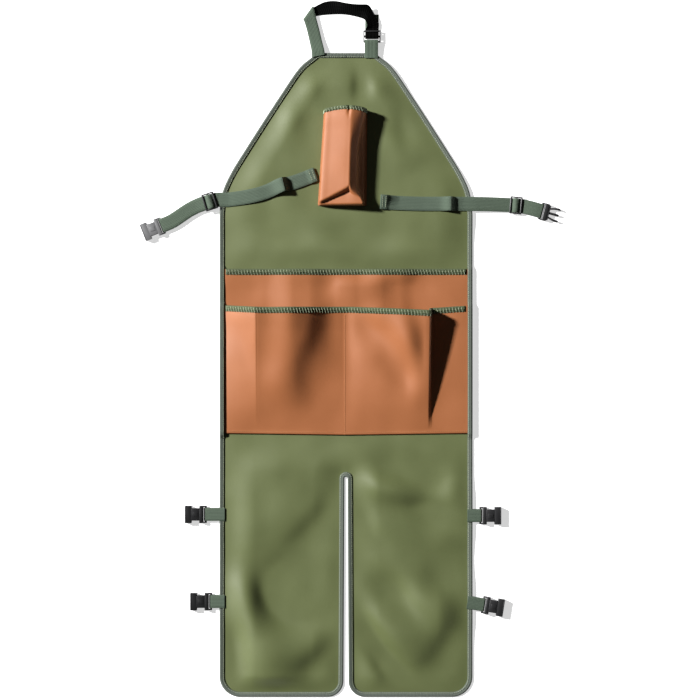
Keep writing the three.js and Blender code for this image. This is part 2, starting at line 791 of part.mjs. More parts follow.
// The part that clips in: bar and slot, a solid base, two spring arms and a guide between them
function plugGeometry() {
  const half = BUCKLE_WIDTH / 2;
  const barLow = BAR_HEIGHT - BAR / 2;
  const barHigh = BAR_HEIGHT + BAR / 2;
  const arm = (side) => {
    const outline = new THREE.Shape([
      new THREE.Vector2(13, side * 5.6),
      new THREE.Vector2(24, side * 8.6),
      new THREE.Vector2(31.5, side * 8.4),
      new THREE.Vector2(33, side * 9.6),
      new THREE.Vector2(29.5, side * 12.4),
      new THREE.Vector2(23.5, side * 11.6),
      new THREE.Vector2(13, side * 8.6),
    ]);
    const solid = new THREE.ExtrudeGeometry(outline, { depth: 4, bevelEnabled: false });
    return solid.translate(0, 0, 2.8);
  };
  const whole = joined([
    new THREE.CylinderGeometry(BAR / 2, BAR / 2, BUCKLE_WIDTH, 12).translate(0, 0, BAR_HEIGHT),
    block(-BAR / 2, 9, -half, -half + 2.4, barLow, barHigh),
    block(-BAR / 2, 9, half - 2.4, half, barLow, barHigh),
    block(6.5, 12, -half, half, 0.6, 8.6),
    block(11.5, 14.5, -half + 2, half - 2, 1.4, 7.8),
    block(14, 31, -2, 2, 3, 6.4),
    arm(1),
    arm(-1),
  ]);
  return geometryOf(whole);
}

function sliderGeometry() {
  const half = SLIDER_WIDTH / 2;
  const inside = half - 2.2;
  const low = -SLIDER_THICKNESS / 2;
  const plate = block(-SLIDER_END, SLIDER_END, -half, half, low, -low);
  const slots = [
    block(-SLOT.to, -SLOT.from, -inside, inside, low - 1, 1 - low),
    block(SLOT.from, SLOT.to, -inside, inside, low - 1, 1 - low),
  ];
  return geometryOf(cutFrom(solidOf(plate), slots));
}

// Height of the middle of a strap that lies on the front of the cloth or of its tape
const ON_TAPE = EDGE_REST + STRAP_REST + PANEL_CLOTH + GAP + TAPE + GAP + WEBBING / 2;
const ON_FLOOR = WEBBING / 2;

// A short strap from under the edge of the cloth, round the bar of a buckle and back on top
function edgeLoop(line, barAlong, under, over) {
  return [
    { along: -under, height: ON_FLOOR },
    { along: barAlong * 0.5, height: ON_FLOOR },
    ...turnRound(barAlong, BAR_HEIGHT, LOOP_RADIUS, -90, 90, 8),
    { along: barAlong * 0.45, height: (ON_TAPE + BAR_HEIGHT + LOOP_RADIUS) / 2 },
    { along: 2.5, height: ON_TAPE },
    { along: -over, height: ON_TAPE },
  ];
}

// The leg straps: side, how far down, how far out the bar of the buckle is, and its turn
const LEG_STRAPS = [
  { name: "left_upper", side: -1, down: 0.7165, out: 23, turn: 0 },
  { name: "left_lower", side: -1, down: 0.852, out: 14, turn: 0 },
  { name: "right_upper", side: 1, down: 0.7185, out: 13, turn: 0 },
  { name: "right_lower", side: 1, down: 0.8545, out: 18, turn: -9 },
];

// The waist straps in plan, from the free end over the bib to the bar of the buckle, as shares of
// the panel's half width and length
const WAIST_LEFT = [
  { across: -0.2407, down: 0.1882 },
  { across: -0.4065, down: 0.1964 },
  { across: -0.4953, down: 0.2015 },
  { across: -0.5981, down: 0.2111 },
  { across: -0.757, down: 0.2212 },
  { across: -0.9299, down: 0.2257 },
  { across: -1.0234, down: 0.2275 },
  { across: -1.0888, down: 0.2311 },
  { across: -1.1542, down: 0.2348 },
  { across: -1.243, down: 0.2431 },
  { across: -1.3505, down: 0.2573 },
  { across: -1.4019, down: 0.263 },
  { across: -1.4579, down: 0.2674 },
];
const WAIST_RIGHT = [
  { across: 0.2734, down: 0.2312 },
  { across: 0.4393, down: 0.2331 },
  { across: 0.6262, down: 0.234 },
  { across: 0.8271, down: 0.234 },
  { across: 0.972, down: 0.234 },
  { across: 1.1449, down: 0.2344 },
  { across: 1.3458, down: 0.2363 },
  { across: 1.4439, down: 0.2395 },
  { across: 1.5467, down: 0.245 },
];

// Room between a waist strap and the folds that it lies over
const CLEAR_OF_FOLDS = 1.2;

// A waist strap: sewn under the edge, out to the buckle, back through the slider, and over the bib
function waistProfile({ line, length, slider, sliderHeight, kink }) {
  const onCloth = (along) => {
    const { point, direction } = line(along);
    const side = HALF_WIDTH - Math.abs(point.x);
    const fromKink = (along - kink.along * length) / kink.reach;
    const rise = kink.rise * Math.exp(-(fromKink ** 2));
    const across = [-0.5, -0.25, 0, 0.25, 0.5].map((share) => {
      const shift = share * WAIST_STRAP;
      return panelFront(point.x - direction.y * shift, point.y + direction.x * shift);
    });
    const cloth = Math.max(...across) + CLEAR_OF_FOLDS + WEBBING / 2;
    const spread = smooth(10, 26, side);
    return ON_TAPE + spread * (cloth - ON_TAPE) + rise;
  };
  const edgeAlong = [...Array(Math.round(length)).keys()].find((along) => {
    return Math.abs(line(along).point.x) > HALF_WIDTH;
  });
  const tail = [];
  const steps = 22;
  for (let k = 0; k <= steps; k += 1) {
    const along = ((edgeAlong + 2) * k) / steps;
    tail.push({ along, height: onCloth(along) });
  }
  const under = sliderHeight - SLIDER_THICKNESS / 2 - GAP - WEBBING / 2;
  const over = sliderHeight + SLIDER_THICKNESS / 2 + GAP + WEBBING / 2;
  const weave = [
    { along: slider - SLIDER_END - 1, height: under },
    { along: slider - SLOT_FAR, height: under },
    { along: slider - SLOT_NEAR, height: over },
    { along: slider + SLOT_NEAR, height: over },
    { along: slider + SLOT_FAR, height: under },
    { along: slider + SLIDER_END + 1.5, height: under },
  ];
  return [
    ...tail,
    ...weave,
    { along: slider + 26, height: BAR_HEIGHT + LOOP_RADIUS - 1 },
    ...turnRound(length, BAR_HEIGHT, LOOP_RADIUS, 90, -90, 8),
    { along: length - 14, height: ON_FLOOR },
    { along: (length + edgeAlong) / 2, height: ON_FLOOR },
    { along: slider, height: ON_FLOOR },
    { along: edgeAlong - STRAP_UNDER, height: ON_FLOOR },
  ];
}

// The neck strap: both edges in plan, as shares of its reach past the bib, and their heights, from 0
// on the floor to 1 on the tape. It runs from the bib up, folded over under itself, across the top,
// and down to the slider.
const NECK_LEFT = [
  { x: -0.6444, up: -0.0778, high: 1 },
  { x: -0.6467, up: 0.0333, high: 1 },
  { x: -0.6778, up: 0.1778, high: 0.675 },
  { x: -0.7333, up: 0.4222, high: 0.516 },
  { x: -0.7722, up: 0.5556, high: 0.611 },
  { x: -0.7944, up: 0.6167, high: 0.706 },
  { x: -0.8067, up: 0.6378, high: 0.516 },
  { x: -0.8067, up: 0.6378, high: 0.214 },
  { x: -0.7922, up: 0.6267, high: 0.008 },
  { x: -0.6889, up: 0.6667, high: 0.008 },
  { x: -0.5444, up: 0.7167, high: 0.008 },
  { x: -0.3333, up: 0.7389, high: 0.008 },
  { x: -0.1778, up: 0.7444, high: 0.008 },
  { x: -0.0222, up: 0.7444, high: 0.04 },
  { x: 0.1333, up: 0.7167, high: 0.119 },
  { x: 0.2667, up: 0.6778, high: 0.516 },
  { x: 0.3444, up: 0.6389, high: 1.151 },
  { x: 0.3889, up: 0.5722, high: 1.468 },
  { x: 0.3922, up: 0.4778, high: 0.992 },
];
const NECK_RIGHT = [
  { x: -0.3944, up: -0.0278, high: 1 },
  { x: -0.4111, up: 0.0778, high: 1 },
  { x: -0.45, up: 0.2222, high: 0.675 },
  { x: -0.5056, up: 0.4667, high: 0.516 },
  { x: -0.5667, up: 0.6833, high: 0.611 },
  { x: -0.6089, up: 0.8667, high: 0.706 },
  { x: -0.6244, up: 0.8889, high: 0.516 },
  { x: -0.6244, up: 0.8889, high: 0.214 },
  { x: -0.6044, up: 0.8778, high: 0.008 },
  { x: -0.5111, up: 0.9333, high: 0.008 },
  { x: -0.4, up: 0.9833, high: 0.008 },
  { x: -0.2889, up: 1, high: 0.008 },
  { x: -0.1556, up: 0.9889, high: 0.516 },
  { x: -0.0222, up: 0.9333, high: 2.103 },
  { x: 0.15, up: 0.9056, high: 2.341 },
  { x: 0.3, up: 0.9056, high: 2.103 },
  { x: 0.4333, up: 0.9167, high: 1.468 },
  { x: 0.5222, up: 0.7667, high: 0.675 },
  { x: 0.6278, up: 0.5833, high: 0.357 },
];

const SHAPES = { socket: socketGeometry(), plug: plugGeometry(), slider: sliderGeometry() };

// Plain colours of the cloths, tapes and moulded pieces
const COLOURS = {
  canvas: { color: "#6e7749", roughness: 0.85 },
  tape: { color: "#656a58", roughness: 0.9 },
  brown: { color: "#bf7a55", roughness: 0.85 },
  trim: { color: "#6f6a50", roughness: 0.9 },
  webbing: { color: "#5c6a62", roughness: 0.8 },
  darkPlastic: { color: "#323131", roughness: 0.5 },
  greyPlastic: { color: "#8f8e8f", roughness: 0.5 },
};

const apron = new THREE.Group();

function addPiece(name, look, geometry) {
  const material = new THREE.MeshStandardMaterial({ ...COLOURS[look], metalness: 0 });
  const mesh = new THREE.Mesh(geometry, material);
  mesh.name = name;
  apron.add(mesh);
}

addPiece("apron_panel", "canvas", panelGeometry());
addPiece("edge_binding", "tape", bindingGeometry());

// The pockets, each with the tape over its rim, which stops short of the columns under the binding
function addPocket(name, net, skipped, cover) {
  const last = net[0].length - 1;
  const faces = netFaces(net.length, net[0].length);
  addPiece(name, "brown", clothSolid(net.flat(), faces, POCKET_CLOTH));
  addPiece(name + "_trim", "trim", rimTape(net, POCKET_CLOTH, skipped, last - skipped, cover));
}
addPocket("back_pocket", backPocketNet(), 1, TRIM_COVER);
addPocket("front_pocket", frontPocketNet(), 1, TRIM_COVER);
addPocket("chest_pocket", chestPocketNet(), 0, CHEST_TRIM_COVER);

// The waist straps with their sliders and buckle halves, the slider and a kink at shares of the length
const WAIST_STRAPS = [
  {
    side: "left",
    rows: WAIST_LEFT,
    slider: 0.674,
    sliderHeight: 9,
    kink: { along: 0.137, reach: 12, rise: 9 },
    shape: SHAPES.socket,
    look: "greyPlastic",
    buckle: "waist_buckle_socket",
  },
  {
    side: "right",
    rows: WAIST_RIGHT,
    slider: 0.84,
    sliderHeight: 5.4,
    kink: { along: 0.435, reach: 12, rise: 7 },
    shape: SHAPES.plug,
    look: "darkPlastic",
    buckle: "waist_buckle_plug",
  },
];
for (const { side, rows, slider, sliderHeight, kink, shape, look, buckle } of WAIST_STRAPS) {
  const corners = rows.map(({ across, down }) => ({ x: across * HALF_WIDTH, y: downTo(down) }));
  const { line, length } = smoothLine(corners);
  const atSlider = slider * length;
  const profile = waistProfile({ line, length, slider: atSlider, sliderHeight, kink });
  addPiece("waist_strap_" + side, "webbing", strapAlong(line, profile, WAIST_STRAP));
  const middle = line(atSlider);
  const sliderTurn = THREE.MathUtils.radToDeg(middle.direction.angle());
  addPiece(
    "waist_slider_" + side,
    "darkPlastic",
    placed(SHAPES.slider, middle.point.x, middle.point.y, sliderHeight, sliderTurn),
  );
  const end = line(length);
  const endTurn = THREE.MathUtils.radToDeg(end.direction.angle());
  addPiece(buckle, look, placed(shape, end.point.x, end.point.y, 0, endTurn));
}

// The leg straps, each looped round the bar of its own buckle half
for (const { name, side, down, out, turn } of LEG_STRAPS) {
  const heading = side > 0 ? turn : 180 - turn;
  const line = straightLine(side * (HALF_WIDTH + GAP + TAPE), downTo(down), heading);
  const profile = edgeLoop(line, out, STRAP_UNDER, STRAP_OVER);
  addPiece("leg_strap_" + name, "webbing", strapAlong(line, profile, LEG_STRAP));
  const bar = line(out).point;
  addPiece("leg_buckle_" + name, "darkPlastic", placed(SHAPES.socket, bar.x, bar.y, 0, heading));
}

// The neck straps and the slider between them
const NECK_SLIDER = { x: 0.489 * NECK_REACH, y: top + 0.3167 * NECK_REACH, turn: -90, height: 5.2 };
const sliderLine = straightLine(NECK_SLIDER.x, NECK_SLIDER.y, NECK_SLIDER.turn);
const underBar = NECK_SLIDER.height - SLIDER_THICKNESS / 2 - GAP - WEBBING / 2;
const overBar = NECK_SLIDER.height + SLIDER_THICKNESS / 2 + GAP + WEBBING / 2;
const threaded = [
  { along: -14, height: underBar + 0.2 },
  { along: -SLOT_FAR, height: underBar },
  { along: -SLOT_NEAR, height: overBar },
  { along: 1.6, height: overBar },
  { along: 3.1, height: NECK_SLIDER.height + 1.4 },
  { along: 3.6, height: NECK_SLIDER.height - 0.6 },
  { along: 2.8, height: 1.6 },
  { along: 1, height: ON_FLOOR },
  { along: -10, height: ON_FLOOR },
  { along: -38, height: ON_FLOOR + 0.1 },
];
const neckPoint = ({ x, up, high }) => {
  const height = ON_FLOOR + high * (ON_TAPE - ON_FLOOR);
  return new THREE.Vector3(x * NECK_REACH, top + up * NECK_REACH, height);
};
const neckLefts = NECK_LEFT.map(neckPoint);
const neckRights = NECK_RIGHT.map(neckPoint);
for (const { along, height } of threaded) {
  const { point, direction } = sliderLine(along);
  const side = new THREE.Vector3(-direction.y, direction.x, 0).multiplyScalar(NECK_STRAP / 2);
  const middle = new THREE.Vector3(point.x, point.y, height);
  neckLefts.push(middle.clone().sub(side));
  neckRights.push(middle.clone().add(side));
}
addPiece("neck_strap", "webbing", strapSolid(neckLefts, neckRights, WEBBING));
addPiece(
  "neck_slider",
  "darkPlastic",
  placed(SHAPES.slider, NECK_SLIDER.x, NECK_SLIDER.y, NECK_SLIDER.height, NECK_SLIDER.turn),
);
const endBar = 9;
const shortLine = straightLine(NECK_SLIDER.x - 1, top + GAP + TAPE, 90);
const toBar = NECK_SLIDER.y - endBar - (top + GAP + TAPE);
const barRadius = Math.hypot(SLIDER_THICKNESS / 2, 1.5) + GAP + WEBBING / 2;
const shortProfile = [
  { along: -NECK_UNDER, height: ON_FLOOR },
  { along: toBar - 4, height: ON_FLOOR },
  { along: toBar - 0.5, height: NECK_SLIDER.height - barRadius },
  ...turnRound(toBar, NECK_SLIDER.height, barRadius, -70, 90, 6),
  { along: 2, height: ON_TAPE },
  { along: -STRAP_OVER, height: ON_TAPE },
];
addPiece("neck_strap_short", "webbing", strapAlong(shortLine, shortProfile, NECK_STRAP));

export default apron;
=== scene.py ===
import math

import bpy
import numpy as np
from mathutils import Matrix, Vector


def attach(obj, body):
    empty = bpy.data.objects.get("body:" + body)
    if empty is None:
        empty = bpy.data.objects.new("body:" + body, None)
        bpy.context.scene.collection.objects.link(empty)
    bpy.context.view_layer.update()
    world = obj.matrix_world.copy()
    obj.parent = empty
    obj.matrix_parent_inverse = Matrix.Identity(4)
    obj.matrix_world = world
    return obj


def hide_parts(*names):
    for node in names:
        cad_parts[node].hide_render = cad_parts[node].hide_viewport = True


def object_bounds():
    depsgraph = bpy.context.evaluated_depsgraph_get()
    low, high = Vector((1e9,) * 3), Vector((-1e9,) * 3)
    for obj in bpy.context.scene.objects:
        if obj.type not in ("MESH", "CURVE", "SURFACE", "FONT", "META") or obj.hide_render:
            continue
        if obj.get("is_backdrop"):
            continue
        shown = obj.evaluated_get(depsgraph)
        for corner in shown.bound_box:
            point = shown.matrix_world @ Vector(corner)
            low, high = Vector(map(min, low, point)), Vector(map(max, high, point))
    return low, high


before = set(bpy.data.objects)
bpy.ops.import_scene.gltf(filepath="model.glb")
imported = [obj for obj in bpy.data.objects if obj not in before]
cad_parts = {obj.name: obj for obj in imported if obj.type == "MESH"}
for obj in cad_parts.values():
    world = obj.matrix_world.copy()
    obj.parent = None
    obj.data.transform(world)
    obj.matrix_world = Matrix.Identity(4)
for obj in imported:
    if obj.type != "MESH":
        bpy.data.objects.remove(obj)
first_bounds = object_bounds()

# The apron lies on its back on a pale studio floor and is seen from straight above.
# One hard lamp stands low at the upper left, so the pockets throw long shadows to the lower right.
# The surround is white for the camera and lights the cloth only faintly.

scene = bpy.context.scene
FRAME_HEIGHT = 1.19
LENS = 90
SENSOR = 36
FRAME_MIDDLE = (0.0068, 0.0425)
camera_data = bpy.data.cameras.new("camera")
camera_data.lens = LENS
camera_data.sensor_width = SENSOR
camera_data.clip_end = 20
camera = bpy.data.objects.new("camera", camera_data)
camera.location = (*FRAME_MIDDLE, FRAME_HEIGHT * LENS / SENSOR)
scene.collection.objects.link(camera)
scene.camera = camera

LAMP_PLACE = (-5.24, 2.2, 3.52)
LAMP_WIDTH = 0.6
LAMP_POWER = 1150
lamp_data = bpy.data.lights.new("key", "AREA")
lamp_data.size = LAMP_WIDTH
lamp_data.energy = LAMP_POWER
lamp = bpy.data.objects.new("key", lamp_data)
lamp.location = LAMP_PLACE
lamp_lean = math.acos(LAMP_PLACE[2] / math.dist(LAMP_PLACE, (0, 0, 0)))
lamp.rotation_euler = (lamp_lean, 0, math.atan2(LAMP_PLACE[1], LAMP_PLACE[0]) + math.pi / 2)
scene.collection.objects.link(lamp)

SURROUND_LIGHT = 0.04
world = bpy.data.worlds.new("studio")
world.use_nodes = True
surround = world.node_tree.nodes["Background"]
surround.inputs["Color"].default_value = (1, 1, 1, 1)
seen = world.node_tree.nodes.new("ShaderNodeLightPath")
level = world.node_tree.nodes.new("ShaderNodeMapRange")
level.inputs["To Min"].default_value = SURROUND_LIGHT
world.node_tree.links.new(seen.outputs["Is Camera Ray"], level.inputs["Value"])
world.node_tree.links.new(level.outputs["Result"], surround.inputs["Strength"])
scene.world = world
scene.view_settings.view_transform = "Standard"


# The panel: bib and legs cut from one coated canvas, with a slit between the legs and round feet.
# It lies with its back on the floor, flat under the pockets and along its edges, where the tape and
# the straps under it lift it a little, and in soft folds elsewhere. Sizes are in millimetres.

MM = 0.001
PANEL_LENGTH = 1092
HALF_WIDTH = 214
TOP = PANEL_LENGTH / 2
PANEL_CLOTH = 1.2
TAPE = 0.7
WEBBING = 1.5
GAP = 0.2
EDGE_REST = TAPE + GAP
STRAP_REST = WEBBING + 0.7
SLIT_TOP = 0.6575
SLIT_HALF_TOP = 3.4
SLIT_HALF_FOOT = 5.3
OUTER_CORNER = 34
INNER_CORNER = 26

# Down the panel as a share of its length, and half its width there as a share of its greatest
OUTLINE = [
    (0, 0.225),
    (0.00705, 0.272),
    (0.025, 0.375),
    (0.069, 0.53),
    (0.111, 0.67),
    (0.154, 0.81),
    (0.181, 0.895),
    (0.206, 0.958),
    (0.2245, 0.986),
    (0.25, 1),
]

# The folds: soft patches of cloth that tilt to the light or away from it. Each row gives where it is
# across and down, as shares of the half width and length, its width and length as shares of the whole
# width, its turn in degrees, and its slope.
SLOPES = [
    (-0.59, 0.091, 0.085, 0.15, -29, 0.22),
    (-0.79, 0.175, 0.06, 0.08, -35, 0.05),
    (-0.24, 0.059, 0.035, 0.06, 0, -0.16),
    (-0.34, 0.103, 0.05, 0.05, 20, -0.17),
    (0.06, 0.053, 0.022, 0.13, 0, -0.26),
    (0.2, 0.053, 0.03, 0.07, 6, 0.24),
    (-0.11, 0.03, 0.05, 0.05, 0, 0.07),
    (0.41, 0.109, 0.045, 0.12, 4, -0.17),
    (0.54, 0.128, 0.06, 0.1, 35, 0.12),
    (0.6, 0.162, 0.08, 0.06, 20, -0.12),
    (-0.1, 0.262, 0.07, 0.07, 20, -0.13),
    (-0.3, 0.29, 0.1, 0.05, 0, 0.1),
    (0.3, 0.298, 0.08, 0.05, 0, 0.07),
    (-0.76, 0.626, 0.12, 0.07, 0, 0.1),
    (-0.88, 0.738, 0.05, 0.15, 0, 0.13),
    (-0.33, 0.732, 0.05, 0.14, -46, -0.24),
    (-0.56, 0.788, 0.06, 0.06, 0, -0.12),
    (-0.71, 0.847, 0.08, 0.16, 26, -0.46),
    (-0.84, 0.922, 0.1, 0.17, 24, 0.46),
    (-0.17, 0.8, 0.06, 0.1, 0, 0.13),
    (-0.27, 0.936, 0.05, 0.12, -54, -0.26),
    (-0.19, 0.969, 0.07, 0.05, -50, 0.18),
    (0.24, 0.625, 0.1, 0.07, 0, -0.09),
    (0.52, 0.696, 0.05, 0.18, 72, -0.28),
    (0.83, 0.67, 0.07, 0.07, 60, 0.3),
    (0.21, 0.726, 0.035, 0.09, 30, 0.18),
    (0.68, 0.816, 0.06, 0.08, 50, -0.16),
    (0.52, 0.846, 0.045, 0.1, 37, 0.32),
    (0.29, 0.906, 0.04, 0.17, 37, 0.38),
    (0.24, 0.953, 0.05, 0.13, 40, -0.3),
    (0.74, 0.914, 0.05, 0.16, -41, -0.2),
    (0.88, 0.956, 0.08, 0.07, 0, 0.16),
    (0.91, 0.807, 0.04, 0.08, 0, 0.2),
]

# The way the cloth's folds run, how far a patch takes to settle, and how high the cloth lies off the floor
FLOW = (0.921, -0.39)
SETTLE = 105
BILLOW = 4.5

# Where straps pass under the edge, the zone that the pockets hold flat, and the middle of the pouch
STRAP_LEVELS = [0.231, 0.717, 0.854]
POCKETS_HOLD = {"from": 0.3, "full": 0.345, "until": 0.585, "free": 0.65}
POUCH_MIDDLE = -0.015

# Over which distances the lift by a strap fades beside it, below the top and in from the side, and the
# lift by the tape fades in from the edge
BESIDE_STRAP = (20, 71)
BELOW_TOP = (30, 81)
INSIDE_SIDE = (34, 85)
INSIDE_TAPE = (14, 60)

# Over which distances the folds begin, from the side, the top, the foot and the slit, how softly they
# leave the floor, and how much lower they are behind the pouch and where
FROM_SIDE = (4, 60)
FROM_TOP = (6, 60)
FROM_FOOT = (4, 38)
FROM_SLIT = (4, 54)
FOLD_EASE = 1.5
POUCH_CALM = 0.8
CALM_ACROSS = (0.24, 0.5)
CALM_FROM = (0.05, 0.085)
CALM_UNTIL = (0.24, 0.29)


def smooth(low, high, value):
    """A share from 0 at low to 1 at high, level at both ends."""
    share = np.clip((value - low) / (high - low), 0, 1)
    return share * share * (3 - 2 * share)


def fade(low, high, value):
    """A share from 1 at low to 0 at high."""
    return 1 - smooth(low, high, value)


def rounded(rows, steps):
    """A smooth line through every row of an array, with a number of steps from row to row."""
    rows = np.asarray(rows, float)
    padded_rows = np.vstack([2 * rows[0] - rows[1], rows, 2 * rows[-1] - rows[-2]])
    share = np.linspace(0, 1, steps, endpoint=False)[:, None]
    line = []
    for k in range(len(rows) - 1):
        a, b, c, d = padded_rows[k : k + 4]
        line.append(
            0.5
            * (
                2 * b
                + (c - a) * share
                + (2 * a - 5 * b + 4 * c - d) * share**2
                + (3 * b - a - 3 * c + d) * share**3
            )
        )
    return np.vstack([*line, rows[-1:]])


def down_to(share):
    """The height on the page of a share of the panel's length below its top."""
    return TOP - share * PANEL_LENGTH


outline_line = rounded(OUTLINE, 12)


def half_width(down):
    """Half the panel's width at shares of its length."""
    return HALF_WIDTH * np.interp(down, outline_line[:, 0], np.minimum(outline_line[:, 1], 1))


def slit_half(down):
    """Half the gap between the legs at shares of the panel's length."""
    share = np.maximum(0, (down - SLIT_TOP) / (1 - SLIT_TOP))
    return SLIT_HALF_TOP + share * (SLIT_HALF_FOOT - SLIT_HALF_TOP)


def edge_distance(x, down):
    """How far points are from the nearest edge of the panel."""
    side = half_width(down) - np.abs(x)
    slit_x = np.maximum(0, np.abs(x) - slit_half(down))
    slit_y = np.maximum(0, (SLIT_TOP - down) * PANEL_LENGTH)
    nearest = np.minimum(side, np.minimum(down, 1 - down) * PANEL_LENGTH)
    return np.maximum(0, np.minimum(nearest, np.hypot(slit_x, slit_y)))


def tilted(rows, x, y):
    """Height of soft slopes along the flow of the cloth.

    Each row is a bell-shaped patch of slope. Its height is the patch summed along the flow, a smooth step
    in the shape of a hyperbolic tangent, which settles to nothing on both sides.
    """
    rise = np.zeros(np.broadcast(x, y).shape)
    for patch_x, patch_y, wide, long, degrees, tilt in rows:
        turn = math.radians(degrees)
        dx = x - patch_x
        dy = y - patch_y
        onward = dx * FLOW[0] + dy * FLOW[1]
        beside = dy * FLOW[0] - dx * FLOW[1]
        with_flow = FLOW[0] * math.cos(turn) + FLOW[1] * math.sin(turn)
        off_flow = FLOW[0] * math.sin(turn) - FLOW[1] * math.cos(turn)
        a = with_flow / wide
        b = off_flow / wide
        c = -off_flow / long
        d = with_flow / long
        steep = a * a + c * c
        shear = (a * b + c * d) / steep
        spread = b * b + d * d - shear * shear * steep
        step = np.tanh(1.2 * math.sqrt(steep) * (onward + shear * beside))
        height = tilt * math.sqrt(math.pi / steep) / 2
        rise += height * step * np.exp(-spread * beside**2 - (onward / SETTLE) ** 2)
    return rise


def in_millimetres(rows):
    """Rows whose places are shares of the panel and whose spreads are shares of its width."""
    whole = 2 * HALF_WIDTH
    return [
        (across * HALF_WIDTH, down_to(down), wide * whole, long * whole, turn, tilt)
        for across, down, wide, long, turn, tilt in rows
    ]


def softly_above(rise, ease):
    """Heights kept above nothing, rounded over a distance where they come near it."""
    return ease * np.log1p(np.exp(rise / ease))


def strap_rest(side, down):
    """How much the cloth is lifted where a strap passes under its edge."""
    sides = [fade(*BESIDE_STRAP, np.abs(down - level) * PANEL_LENGTH) for level in STRAP_LEVELS]
    neck = fade(*BELOW_TOP, down * PANEL_LENGTH)
    return STRAP_REST * np.maximum(neck, fade(*INSIDE_SIDE, side) * np.maximum.reduce(sides))


def panel_back(x, y):
    """Height of the back of the cloth over the floor: its lift over tape and straps, plus its folds.

    The folds fade out towards the edges and the slit and under the pockets, and are low behind the pouch.
    """
    down = (TOP - y) / PANEL_LENGTH
    edge = edge_distance(x, down)
    side = half_width(down) - np.abs(x)
    slit = np.hypot(np.abs(x) - slit_half(down), np.maximum(0, (SLIT_TOP - down) * PANEL_LENGTH))
    free = fade(POCKETS_HOLD["from"], POCKETS_HOLD["full"], down)
    free = free + smooth(POCKETS_HOLD["until"], POCKETS_HOLD["free"], down)
    calm = smooth(*FROM_SIDE, side) * smooth(*FROM_TOP, down * PANEL_LENGTH)
    calm = calm * smooth(*FROM_FOOT, (1 - down) * PANEL_LENGTH)
    calm = calm * smooth(*FROM_SLIT, slit) * free
    behind_pouch = fade(*CALM_ACROSS, np.abs(x / HALF_WIDTH - POUCH_MIDDLE))
    behind_pouch = behind_pouch * smooth(*CALM_FROM, down) * fade(*CALM_UNTIL, down)
    folds = BILLOW + tilted(in_millimetres(SLOPES), x, y) * (1 - POUCH_CALM * behind_pouch)
    lift = EDGE_REST * fade(*INSIDE_TAPE, edge) + strap_rest(side, down)
    return lift + softly_above(folds, FOLD_EASE) * calm


def panel_front(x, y):
    """Height of the front of the cloth over the floor."""
    return panel_back(x, y) + PANEL_CLOTH


def linear(hexa):
    """The colour of a hex code as linear light, with an alpha of one."""
    values = []
    for start in (0, 2, 4):
        value = int(hexa[start : start + 2], 16) / 255
        values.append(value / 12.92 if value <= 0.04045 else ((value + 0.055) / 1.055) ** 2.4)
    return (*values, 1)


def node(material, kind, inputs=None, **settings):
    """A new node of a material, with its settings, and values or links for its inputs."""
    made = material.node_tree.nodes.new(kind)
    for key, value in settings.items():
        setattr(made, key, value)
    for key, value in (inputs or {}).items():
        if isinstance(value, bpy.types.NodeSocket):
            material.node_tree.links.new(value, made.inputs[key])
        else:
            made.inputs[key].default_value = value
    return made


def new_material(name, roughness, sheen=0.0, specular=0.5):
    """A material with its shader, whose roughness, sheen and specular level are even."""
    material = bpy.data.materials.new(name)
    material.use_nodes = True
    shader = material.node_tree.nodes["Principled BSDF"]
    shader.inputs["Roughness"].default_value = roughness
    shader.inputs["Sheen Weight"].default_value = sheen
    shader.inputs["Sheen Roughness"].default_value = 0.5
    shader.inputs["Specular IOR Level"].default_value = specular
    return material, shader


TURN = 2 * math.pi
CANVAS_ROUGHNESS = 0.6
THREAD_SPACING = 1.1 * MM
THREAD_HEIGHT = 0.06 * MM
CLOUD_SIZE = 500 / 7 * MM
SWELL_SIZE = 1000 / 11 * MM
SWELL_HEIGHT = 8 * MM


def crossed_waves(material, place, spacings, operation):
    """The sine of the place across and the sine along, once round in each spacing, put together."""
    split = node(material, "ShaderNodeSeparateXYZ", {"Vector": place})
    waves = []
    for axis, spacing in zip("XY", spacings):
        turns = {0: split.outputs[axis], 1: TURN / spacing}
        scaled = node(material, "ShaderNodeMath", turns, operation="MULTIPLY")
        waves.append(node(material, "ShaderNodeMath", {0: scaled.outputs[0]}, operation="SINE"))
    pair = {0: waves[0].outputs[0], 1: waves[1].outputs[0]}
    return node(material, "ShaderNodeMath", pair, operation=operation).outputs[0]


def coated_cloth(name, base, worn, gloss):
    """Coated plain weave: the sine across times the sine along, over wide swells and clouds of noise."""
    material, shader = new_material(name, CANVAS_ROUGHNESS, sheen=0.04, specular=gloss)
    place = node(material, "ShaderNodeTexCoord").outputs["Object"]
    mottle = node(material, "ShaderNodeTexNoise", {"Vector": place, "Scale": 1 / CLOUD_SIZE, "Detail": 4})
    mottled = {0: mottle.outputs["Fac"], 6: base, 7: worn}
    colour = node(material, "ShaderNodeMix", mottled, data_type="RGBA")
    weave = crossed_waves(material, place, (THREAD_SPACING, THREAD_SPACING), "MULTIPLY")
    swell = node(material, "ShaderNodeTexNoise", {"Vector": place, "Scale": 1 / SWELL_SIZE, "Detail": 1})
    swell_height = {"Height": swell.outputs["Fac"], "Strength": 0.5, "Distance": SWELL_HEIGHT}
    swells = node(material, "ShaderNodeBump", swell_height)
    thread_height = {"Height": weave, "Strength": 0.4, "Distance": THREAD_HEIGHT}
    thread_height["Normal"] = swells.outputs["Normal"]
    bump = node(material, "ShaderNodeBump", thread_height)
    material.node_tree.links.new(colour.outputs[2], shader.inputs["Base Color"])
    material.node_tree.links.new(bump.outputs["Normal"], shader.inputs["Normal"])
    return material


